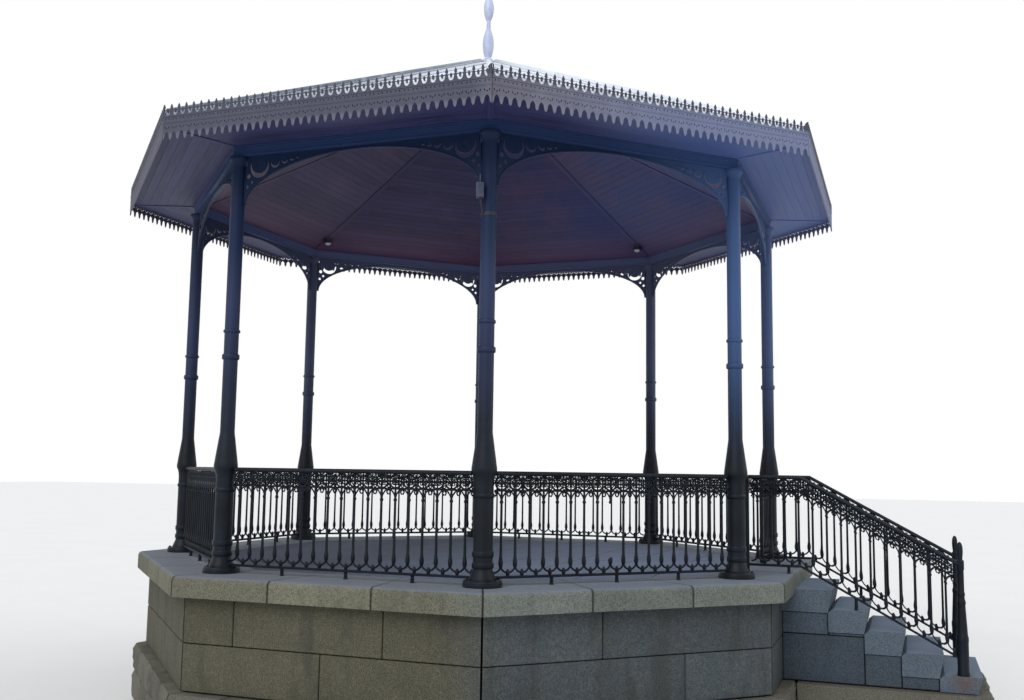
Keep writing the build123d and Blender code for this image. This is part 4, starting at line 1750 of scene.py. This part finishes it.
# Arcade
@dataclass
class Arcade:
    """Openwork spandrels under the beam: crescents that shrink, and round openings by the column."""

    finishes: Finishes
    half: float = 1.2375
    drop: float = 0.475
    crown: float = 0.02
    foot: float = 0.014
    plate: float = 0.014
    eye_plate: float = 0.018
    chamfer: float = 0.002
    rib: float = 0.012
    jamb: float = 0.011
    cap_reach: float = 0.0275
    cap_drop: float = 0.09
    crescents: tuple[tuple[float, float, float], ...] = (
        (0.165, 0.112, 0.105), (0.337, 0.081, 0.053), (0.442, 0.063, 0.038),
        (0.522, 0.052, 0.028), (0.585, 0.043, 0.020),
    )
    rounds: tuple[tuple[float, float, float], ...] = (
        (0.047, 0.195, 0.023), (0.036, 0.300, 0.017), (0.085, 0.256, 0.016),
    )

    def crescent(self, centre: Point, radius: float) -> list[Point]:
        """Crescent that lies on its back: a circle less a smaller one that is shifted up.

        Args:
            centre: Centre of the circle.
            radius: Radius of the circle.

        Returns:
            Points around the crescent.
        """
        inner = (centre[0], centre[1] + 0.27 * radius)
        outside = arc(centre, radius, 137, 403, 18)
        inside = arc(inner, 0.84 * radius, 29.2, -209.2, 14)
        return outside[:-1] + inside[:-1]

    def edge(self) -> list[Point]:
        """The lower edge of a spandrel: half an ellipse from the left foot to the right."""
        reach = self.half - self.foot
        return arc((0.0, -self.drop), reach, 180, 0, 48, (self.drop - self.crown) / reach)

    def outline(self) -> list[Point]:
        """Outline of a spandrel, notched at its upper corners for the columns' caps.

        Returns:
            Points around it, the origin in the middle of its upper edge.
        """
        cap = self.cap_reach - self.half
        left = [(-self.half, -self.drop), (-self.half, -self.cap_drop), (cap, -self.cap_drop), (cap, 0)]
        return [*left, *reversed(mirrored(left)), *reversed(self.edge())]

    def build(self) -> None:
        """Build one spandrel and copy it to every bay."""
        lines = [self.outline()]
        eyes = []
        for side in (-1, 1):
            for reach, drop, radius in self.crescents:
                centre = (side * (self.half - reach), -drop)
                lines.append(self.crescent(centre, radius))
                eye = (centre[0], centre[1] + 0.2 * radius)
                ring = [circle(eye, 0.5 * radius, 14), circle(eye, 0.3 * radius, 10)]
                eyes.append(casting("eye", ring, self.eye_plate, self.chamfer))
            for reach, drop, radius in self.rounds:
                lines.append(circle((side * (self.half - reach), -drop), radius, 12))
        plate = casting("spandrel", lines, self.plate, self.chamfer)
        rib = rods("spandrel_rib", [self.edge()], self.rib, 1)
        jamb = [(0.008 - self.half, -self.drop), (0.008 - self.half, -self.cap_drop)]
        jambs = rods("spandrel_jambs", [jamb, mirrored(jamb)], self.jamb, 1)
        piece = move(join("spandrel", [plate, *eyes, rib, jambs]), y=-PLAN.column_apothem, z=PLAN.head)
        turns = enumerate(PLAN.bay_turns(), start=1)
        places = [(f"spandrel_{number}", f"arch_{number}", turn) for number, turn in turns]
        hand_out(piece, self.finishes.iron, places)


# Columns
@dataclass
class Columns:
    """Eight cast columns with their rings, and the bolts that hold their base discs."""

    finishes: Finishes
    shaft: float = 0.0675
    drum: float = 0.084
    collar: float = 0.093
    bolt_circle: float = 0.143
    bolt_count: int = 4

    def ring(self, level: float, height: float, neck: float, radius: float, bevel: float) -> list[Point]:
        """Profile of a rounded ring around a neck.

        Args:
            level: Level of its lower side.
            height: Its height.
            neck: Radius of the neck.
            radius: Its own radius.
            bevel: How far its roots spread up and down the neck.

        Returns:
            Radius and height of each of its edges.
        """
        middle = (neck + 3 * radius) / 4
        top = level + height
        return [
            (neck, level - bevel), (middle, level - 0.35 * bevel), (radius, level + 0.12 * height),
            (radius, level + 0.88 * height), (middle, top + 0.35 * bevel), (neck, top + bevel),
        ]

    def profile(self) -> list[Point]:
        """The profile of a column, from its base disc to its cap.

        Returns:
            Radius and height of every ring.
        """
        shaft, drum, collar = self.shaft, self.drum, self.collar
        return [
            (0.169, 0.0), (0.169, 0.04), (0.165, 0.05), (0.157, 0.056),
            (0.115, 0.0561), (0.113, 0.072), (0.103, 0.096), (0.090, 0.126), (drum, 0.147),
            *self.ring(0.158, 0.042, drum, collar, 0.006), *self.ring(0.252, 0.042, drum, collar, 0.006),
            *self.ring(0.75, 0.022, drum, collar, 0.01),
            (drum, 0.86), (0.088, 0.9), (0.097, 0.935), (0.108, 0.958), (0.110, 0.965), (0.110, 0.995),
            (0.106, 1.02), (0.098, 1.08), (0.088, 1.15), (0.078, 1.225), (0.070, 1.28), (shaft, 1.3),
            *self.ring(1.99, 0.038, shaft, 0.0815, 0.01), *self.ring(2.245, 0.017, shaft, 0.079, 0.01),
            (shaft, 3.84), (0.070, 3.87), (0.082, 3.905), (0.094, 3.92), (0.095, 3.925), (0.095, 3.95),
        ]

    def bolts(self) -> list[Object]:
        """Bolts through the base disc, around the axis of the column.

        Returns:
            The bolts' heads with their washers.
        """
        head = ((0.016, 0.054), (0.016, 0.059), (0.0115, 0.0591), (0.0115, 0.069), (0.009, 0.071))
        spots = arc((0, 0), self.bolt_circle, 45, 405, self.bolt_count)[:-1]
        return [turned("bolt", head, 6, (*spot, 0)) for spot in spots]

    def build(self) -> None:
        """Turn one column and copy it to every corner."""
        shaft = turned("column", self.profile(), 32)
        corner = Vector((math.sin(PLAN.half_turn), -math.cos(PLAN.half_turn))) * PLAN.column_circle
        column = move(join("column", [shaft, *self.bolts()]), corner.x, corner.y, PLAN.floor)
        turns = enumerate(PLAN.bay_turns(), start=1)
        places = [(f"cast_column_{number}", f"column_{number}", turn) for number, turn in turns]
        hand_out(column, self.finishes.iron, places)


# Eaves
@dataclass
class Eaves:
    """Fascia with cresting and pendants, the boards behind it and the mouldings on the beam."""

    finishes: Finishes
    thickness: float = 0.015
    set_back: float = 0.009
    plate: float = 0.006
    band: float = 0.18
    cresting: float = 0.1
    pendant: float = 0.06
    band_drop: float = 0.065
    tooth_width: float = 0.08
    board: float = 0.093
    board_thickness: float = 0.022
    board_joint: float = 0.0008
    board_edge: float = 0.0018
    strip_half: float = 0.03
    beam_half: float = 0.05
    seed: int = 21

    def build(self) -> None:
        """Build the eaves."""
        self.chance = random.Random(self.seed)
        self.fascia()
        self.soffit()
        self.beam()

    def tooth(self, pitch: float) -> list[list[Point]]:
        """Outline and openings of one tooth of the fascia, from the middle of one pendant to the next.

        Args:
            pitch: Width of the tooth.

        Returns:
            The closed outline first, then the openings.
        """
        half = pitch / 2
        band = self.band
        side = [
            (0.0065, band + 0.053), (0.0115, band + 0.044), (0.026, band + 0.046),
            (half - 0.006, band + 0.053), (half - 0.013, band + 0.061), (half - 0.012, band + 0.074),
            (half - 0.006, band + 0.090), (half, band + self.cresting),
            (half, -self.pendant), (half - 0.006, -0.054), (half - 0.0125, -0.042), (half - 0.016, -0.026),
            (half - 0.0165, -0.012), (0.017, 0.002), (0.007, 0.013),
        ]
        outline = [(0, band + 0.057), *side, (0, 0.016), *reversed(mirrored(side))]
        loop = [
            (0.0115, band + 0.040), (0.0265, band + 0.041), (0.028, band + 0.028), (0.0235, band + 0.008),
            (0.013, band - 0.005),
        ]
        bud = [(0.0095, band + 0.030), (0.006, band + 0.020)]
        swag = [(0, band - 0.009), *reversed(mirrored(loop)), *mirrored(bud), (0, band + 0.016)]
        openings = [[*swag, *reversed(bud), *loop], circle((0, 0.046), 0.0075, 8)]
        openings += [leaning((way * 0.022, 0.058), 0.005, 0.013, way * -24) for way in (-1, 1)]
        openings += [leaning((way * 0.017, band - 0.044), 0.004, 0.011, way * 40) for way in (-1, 1)]
        return [outline, *openings]

    def fascia(self) -> None:
        """One side of the fascia in teeth, with its beads, copied to every bay."""
        length = 2 * PLAN.half_side(PLAN.eave_apothem)
        count = round(length / self.tooth_width)
        pitch = length / count
        teeth = row(casting("tooth", self.tooth(pitch), self.plate), count, pitch)
        parts = [move(teeth, x=pitch / 2 - length / 2)]
        for level, height, proud in ((0.154, 0.010, 0.008), (0.094, 0.006, 0.006), (0.104, 0.004, 0.004)):
            parts.append(block("bead", (-length / 2, -proud, level), (length / 2, 0, level + height), 0.002))
        parts.append(self.corner_leaf(length))
        front = -PLAN.eave_apothem - self.thickness
        side = move(join("fascia_side", parts), y=front + self.set_back, z=PLAN.soffit - self.band_drop)
        piece = copies("fascia_openwork", side, PLAN.bay_turns())
        hand_over(piece, Slot.FASCIA, self.finishes.fascia, "fascia")

    def corner_leaf(self, length: float) -> Object:
        """Upright leaf that covers the joint of two sides at a corner.

        Args:
            length: Length of a side.

        Returns:
            The leaf at the right end of the side.
        """
        place = length / 2 - 0.01
        leaf = (
            (-0.028, -0.01), (-0.036, 0.03), (-0.02, 0.05), (-0.026, 0.072), (0.0, 0.098), (0.01, 0.08),
            (0.01, -0.01),
        )
        return casting("corner_leaf", [[(place + x, self.band + z) for x, z in leaf]], 0.01, 0.001)

    def boards(self, start: float, end: float) -> list[Object]:
        """Boards along the first bay, side by side with chamfered edges.

        Args:
            start: Inner edge of the boarding.
            end: Outer edge of the boarding.

        Returns:
            The boards, laid level with their undersides at zero.
        """
        count = round((end - start) / self.board)
        width = (end - start) / count
        reach = PLAN.half_side(end) + 0.1
        gap = self.board_joint / 2
        made = []
        for index in range(count):
            outer = end - index * width
            high = (reach, width - outer - gap, self.board_thickness)
            plank = block("board", (-reach, gap - outer, 0.0), high, self.board_edge)
            mark_tone(plank, self.chance.uniform(*TONES))
            made.append(mark_grain(plank, self.chance.uniform(0, 9)))
        return made

    def soffit(self) -> None:
        """Level boards from the beam out to the fascia."""
        side = join("soffit_side", self.boards(PLAN.column_apothem, PLAN.eave_apothem))
        side = mitre(move(side, z=PLAN.soffit), 0.001)
        piece = copies("soffit_boards", side, PLAN.bay_turns())
        hand_over(piece, Slot.BOARDS, self.finishes.soffit, "soffit")
        self.strips()

    def strips(self) -> None:
        """Cover strips over the mitres of the soffit."""
        inner = (PLAN.column_apothem + 0.06) / math.cos(PLAN.half_turn)
        outer = PLAN.eave_apothem / math.cos(PLAN.half_turn) - 0.02
        low = (inner, -self.strip_half, PLAN.soffit - 0.008)
        strip = block("strip", low, (outer, self.strip_half, PLAN.soffit + 0.004), 0.003)
        mark_grain(mark_tone(strip, 0.1), 3.0)
        piece = copies("soffit_strips", strip, PLAN.corner_turns())
        hand_over(piece, Slot.BOARDS, self.finishes.soffit)

    def beam(self) -> None:
        """Mouldings on both faces of the beam, and its finish."""
        parts = []
        for way in (1, -1):
            face = PLAN.column_apothem + way * self.beam_half
            for low, high, proud in ((0.082, 0.1, 0.014), (0.066, 0.082, 0.007), (0.0, 0.014, 0.006)):
                reach = PLAN.half_side(face) + (0.01 if way > 0 else 0.0)
                ends = sorted((-face, -face - way * proud))
                parts.append(block("moulding", (-reach, ends[0], low), (reach, ends[1], high), 0.002))
        side = mitre(move(join("moulding", parts), z=PLAN.head), 0.0)
        hand_over(copies("beam_mouldings", side, PLAN.bay_turns()), Slot.IRON, self.finishes.beam)
        dress(self.finishes.beam, "ring_beam")


# Roof
@dataclass
class Roof:
    """Boarded ceiling, the zinc covering with its rolls, and the finial."""

    finishes: Finishes
    eaves: Eaves
    ceiling_rise: float = 1.57
    ceiling_thickness: float = 0.028
    rib_half: float = 0.035
    rib_depth: float = 0.024
    roll_gap: float = 0.52
    roll_width: float = 0.026
    roll_height: float = 0.014
    hip_gap: float = 0.12
    apex_gap: float = 0.16
    welt_gap: float = 1.05
    welt_shift: float = 0.5
    welt_width: float = 0.02
    welt_margin: float = 0.05

    def build(self) -> None:
        """Build the roof."""
        self.ceiling()
        self.ribs()
        self.rolls()
        dress(self.finishes.zinc, "roof_covering")
        dress(self.finishes.hips, "hip_rolls")
        dress(self.finishes.finial, "finial")
        dress(self.finishes.timber, "roof_frame")

    def ceiling(self) -> None:
        """Boards parallel to the eaves, up the eight slopes of the ceiling."""
        slope = math.atan2(self.ceiling_rise, PLAN.column_apothem)
        length = math.hypot(self.ceiling_rise, PLAN.column_apothem)
        side = move(join("ceiling_side", self.eaves.boards(0.06, length)), y=length)
        side.data.transform(Matrix.Rotation(slope, 4, "X"))
        lift = self.ceiling_thickness / math.cos(slope)
        side = mitre(move(side, y=-PLAN.column_apothem, z=PLAN.soffit - lift + 0.004), 0.001)
        cut(side, Vector((0, 0, PLAN.soffit + 0.0005)), Vector((0, 0, -1)))
        piece = copies("ceiling_boards", side, PLAN.bay_turns())
        hand_over(piece, Slot.BOARDS, self.finishes.ceiling, "ceiling")

    def ribs(self) -> None:
        """Cover strips under the hips of the ceiling, and the boss where they meet."""
        slope = math.atan2(self.ceiling_rise, PLAN.column_circle)
        length = math.hypot(self.ceiling_rise, PLAN.column_circle)
        half, deep = self.rib_half, self.rib_depth / 2
        strip = block("rib", (0.1, -half, -deep), (length - 0.1, half, deep), 0.004)
        mark_grain(mark_tone(strip, -0.4), 5.0)
        strip.data.transform(Matrix.Rotation(slope, 4, "Y"))
        top = PLAN.soffit + self.ceiling_rise - self.ceiling_thickness / math.cos(slope)
        ribs = copies("ceiling_ribs", move(strip, z=top), PLAN.corner_turns())
        hand_over(ribs, Slot.BOARDS, self.finishes.ceiling)
        profile = (
            (0.012, -0.09), (0.03, -0.08), (0.036, -0.055), (0.022, -0.035), (0.05, -0.02), (0.11, -0.005),
            (0.12, 0.03),
        )
        boss = turned("ceiling_boss", profile, 24, (0, 0, top - 0.04))
        mark_grain(mark_tone(boss, -0.3), 1.0)
        hand_over(boss, Slot.BOARDS, self.finishes.ceiling)

    def welts(self, left: float, right: float, shift: float, length: float) -> list[Object]:
        """Welts across one strip of the covering, at three heights.

        Args:
            left: Left edge of the strip.
            right: Right edge of the strip.
            shift: How far down they are moved from those of the next strip.
            length: Length of the slope from the eave to the apex.

        Returns:
            The welts that fit under the hips.
        """
        made = []
        for level in range(1, 4):
            climb = level * self.welt_gap - shift
            edge = (1 - climb / length) * PLAN.half_side(PLAN.eave_apothem) - self.welt_margin
            low = (max(left, -edge), climb, -0.001)
            high = (min(right, edge), climb + self.welt_width, 0.003)
            if high[0] - low[0] > self.welt_margin:
                made.append(block("welt", low, high, 0.001))
        return made

    def rolls(self) -> None:
        """Rolls up the slopes of the covering, and welts between them."""
        rise = PLAN.apex - PLAN.eave
        slope = math.atan2(rise, PLAN.eave_apothem)
        length = math.hypot(rise, PLAN.eave_apothem)
        side_half = PLAN.half_side(PLAN.eave_apothem)
        half = self.roll_width / 2
        count = int(side_half / self.roll_gap)
        parts = []
        for index in range(-count, count + 1):
            middle = index * self.roll_gap
            end = min(length - abs(middle) / side_half * length - self.hip_gap, length - self.apex_gap)
            high = (middle + half, end, self.roll_height)
            parts.append(block("roll", (middle - half, 0.0, 0), high, 0.008))
        for index in range(-count - 1, count + 1):
            left = index * self.roll_gap + half
            shift = self.welt_shift if index % 2 else 0.0
            parts += self.welts(left, left + self.roll_gap - self.roll_width, shift, length)
        side = join("roof_rolls", parts)
        side.data.transform(Matrix.Rotation(slope, 4, "X"))
        move(side, y=-PLAN.eave_apothem, z=PLAN.eave)
        hand_over(copies("roof_rolls", side, PLAN.bay_turns()), Slot.ZINC, self.finishes.zinc)


# Lamps
@dataclass
class Lamps:
    """Round lamps at the feet of two hips, and the floodlight on the nearest column."""

    finishes: Finishes
    corners: tuple[int, ...] = (1, 3)
    inset: float = 0.33
    level: float = 5.735
    ceiling: float = 5.86
    flood_corner: int = 6
    flood_turn: float = 40
    flood_reach: float = 0.125
    flood_level: float = 5.015
    flood_half: float = 0.034
    flood_half_height: float = 0.065

    def build(self) -> None:
        """Build the lamps."""
        self.round_lamps()
        self.floodlight()

    def round_lamps(self) -> None:
        """Lamps with a stepped housing, a bezel and a bulging lens."""
        lens = ((0.012, -0.034), (0.028, -0.028), (0.040, -0.015), (0.045, 0.002))
        housing = (
            (0.046, -0.006), (0.060, -0.006), (0.062, 0.002), (0.062, 0.018), (0.054, 0.026), (0.054, 0.05),
            (0.058, 0.056), (0.058, self.ceiling - self.level),
        )
        lenses, housings = [], []
        for corner in self.corners:
            at = PLAN.on_corner(corner, PLAN.column_circle - self.inset, self.level)
            lenses.append(turned("lens", lens, 24, at))
            housings.append(turned("housing", housing, 32, at))
        hand_over(join("lamp_lenses", lenses), Slot.LAMP_METAL, self.finishes.glass)
        hand_over(join("lamp_housings", housings), Slot.LAMP_METAL, self.finishes.lamp_metal, "ceiling_lamps")

    def flood_box(self) -> Object:
        """Box of the floodlight, open on the side that faces +X, with ribs on its back and sides.

        Returns:
            The box.
        """
        half, high = self.flood_half, self.flood_half_height
        body = block("body", (-half, -half, -high), (half, half, high))
        with editing(body, whole=False):
            mesh = bmesh.from_edit_mesh(body.data)
            for face in mesh.faces:
                face.select_set(face.normal.x > 0.9)
            bmesh.update_edit_mesh(body.data)
            bpy.ops.mesh.inset(thickness=0.006)
            bpy.ops.mesh.extrude_region_move(TRANSFORM_OT_translate={"value": (-0.006, 0, 0)})
        soften(body, 0.006, 2)
        levels = [0.015 * index for index in range(-3, 4)]
        ribs = [block("rib", (-0.03, -0.0385, low), (0.02, 0.0385, low + 0.004), 0.001) for low in levels]
        return smooth(join("flood_body", [body, *ribs]))

    def floodlight(self) -> None:
        """Box with a hooded glass on a bent arm, a stem over it and the clamp on the column."""
        body = self.flood_box()
        glass = block("flood_glass", (0.0285, -0.029, -0.058), (0.0315, 0.029, 0.058), 0.001)
        for piece in (body, glass):
            piece.data.transform(Matrix.Rotation(math.radians(self.flood_turn - 90), 4, "Z"))
        rings = ((0.009, 0.064), (0.009, 0.072), (0.006, 0.076), (0.006, 0.14), (0.004, 0.145))
        stem = turned("stem", rings, 12)
        start = 0.0645 - self.flood_reach
        line = [(start, -0.195), (start + 0.02, -0.18), (-0.006, -0.09), (0, -0.06)]
        arm = rods("arm", [line], 0.007, 2)
        clamp = ((0.0665, -0.212), (0.0715, -0.21), (0.0715, -0.18), (0.0665, -0.178))
        band = turned("band", clamp, 24, (-self.flood_reach, 0, 0))
        place = self.flood_place()
        for piece, slot, finish in (
            (join("floodlight_body", [body, stem]), Slot.LAMP_BODY, self.finishes.lamp_body),
            (join("floodlight_arm", [arm, band]), Slot.LAMP_METAL, self.finishes.lamp_metal),
            (glass, Slot.LAMP_METAL, self.finishes.glass),
        ):
            piece.data.transform(place)
            hand_over(piece, slot, finish)
            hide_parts("floodlight")

    def flood_place(self) -> Matrix:
        """Place and turn of the floodlight's box, whose glass faces away from the column.

        Returns:
            The matrix that brings the box to its column.
        """
        foot = PLAN.on_corner(self.flood_corner, PLAN.column_circle, self.flood_level)
        angle = PLAN.corner_angle(self.flood_corner) - math.radians(self.flood_turn)
        turn = Matrix.Rotation(angle, 4, "Z")
        return Matrix.Translation(foot) @ turn @ Matrix.Translation((self.flood_reach, 0, 0))


# Studio
@dataclass
class Studio:
    """Pale floor, soft light and the camera at the photograph's angle."""

    position: tuple[float, float, float] = (-11.597, -4.684, 2.588)
    heading: float = 20.41
    pitch: float = 6.54
    roll: float = -0.83
    focal_pixels: float = 1060.1
    image_width: int = 1024
    sensor: float = 36.0
    key_strength: float = 1.6
    key_spread: float = 40
    fill_strength: float = 0.5
    fill_spread: float = 60
    sky: Colour = (0.93, 0.96, 1.0, 1.0)
    sky_strength: float = 0.75
    floor_size: float = 240

    def build(self) -> None:
        """Build the studio."""
        self.floor()
        self.lamps()
        self.world()
        self.camera()
        bpy.context.scene.view_settings.view_transform = "Standard"

    def floor(self) -> None:
        """Wide pale floor with a faint mottle."""
        clear_choice()
        bpy.ops.mesh.primitive_plane_add(size=self.floor_size)
        ground = bpy.context.object
        ground.name = "studio_floor"
        sheet = NodeSheet("studio_floor_paint")
        colour = sheet.mix(sheet.noise(0.6, 3.0), tint(226, 226, 224), tint(232, 232, 231))
        ground.data.materials.append(sheet.done(colour, 0.9, Specular_IOR_Level=0.1))

    def lamps(self) -> None:
        """A broad sun from the front left and a weak one from the right."""
        for name, turn, strength, spread in (
            ("key", (52, 0, -96), self.key_strength, self.key_spread),
            ("fill", (62, 0, 20), self.fill_strength, self.fill_spread),
        ):
            light = bpy.data.lights.new(name, "SUN")
            light.energy = strength
            light.angle = math.radians(spread)
            lamp = bpy.data.objects.new(name, light)
            lamp.rotation_euler = [math.radians(angle) for angle in turn]
            bpy.context.collection.objects.link(lamp)

    def world(self) -> None:
        """White surroundings for the camera and for reflections, softer light for everything else."""
        world = bpy.data.worlds.new("studio_world")
        bpy.context.scene.world = world
        world.use_nodes = True
        tree = world.node_tree
        tree.nodes.clear()
        ray = tree.nodes.new("ShaderNodeLightPath").outputs
        seen = tree.nodes.new("ShaderNodeBackground")
        seen.inputs["Color"].default_value = (1, 1, 1, 1)
        soft = tree.nodes.new("ShaderNodeBackground")
        soft.inputs["Color"].default_value = self.sky
        soft.inputs["Strength"].default_value = self.sky_strength
        share = ray["Is Camera Ray"]
        for other in ("Is Glossy Ray", "Is Transmission Ray"):
            more = tree.nodes.new("ShaderNodeMath")
            more.operation = "MAXIMUM"
            tree.links.new(share, more.inputs[0])
            tree.links.new(ray[other], more.inputs[1])
            share = more.outputs["Value"]
        mixed = tree.nodes.new("ShaderNodeMixShader")
        tree.links.new(share, mixed.inputs["Fac"])
        tree.links.new(soft.outputs["Background"], mixed.inputs[1])
        tree.links.new(seen.outputs["Background"], mixed.inputs[2])
        out = tree.nodes.new("ShaderNodeOutputWorld")
        tree.links.new(mixed.outputs["Shader"], out.inputs["Surface"])

    def camera(self) -> None:
        """Camera where the photographer stood."""
        heading, pitch, roll = (math.radians(angle) for angle in (self.heading, self.pitch, self.roll))
        level = Vector((math.cos(heading), math.sin(heading), 0))
        side = Vector((level.y, -level.x, 0))
        forward = level * math.cos(pitch) + Vector((0, 0, math.sin(pitch)))
        above = Vector((0, 0, math.cos(pitch))) - level * math.sin(pitch)
        right = side * math.cos(roll) - above * math.sin(roll)
        up = above * math.cos(roll) + side * math.sin(roll)
        data = bpy.data.cameras.new("photo_camera")
        data.sensor_width = self.sensor
        data.lens = self.focal_pixels / self.image_width * self.sensor
        data.clip_end = 500
        camera = bpy.data.objects.new("photo_camera", data)
        turn = Matrix((right, up, -forward)).transposed().to_4x4()
        camera.matrix_world = Matrix.Translation(self.position) @ turn
        bpy.context.collection.objects.link(camera)
        bpy.context.scene.camera = camera


def main() -> None:
    """Build every piece in order."""
    logging.basicConfig(level=logging.INFO, format="%(name)s %(message)s")
    finishes = Finishes()
    Podium(finishes).build()
    Columns(finishes).build()
    lattice = Lattice()
    Balustrades(finishes, lattice).build()
    StairRailings(finishes, lattice).build()
    Arcade(finishes).build()
    eaves = Eaves(finishes)
    eaves.build()
    Roof(finishes, eaves).build()
    Lamps(finishes).build()
    Studio().build()


if __name__ == "__main__":
    main()
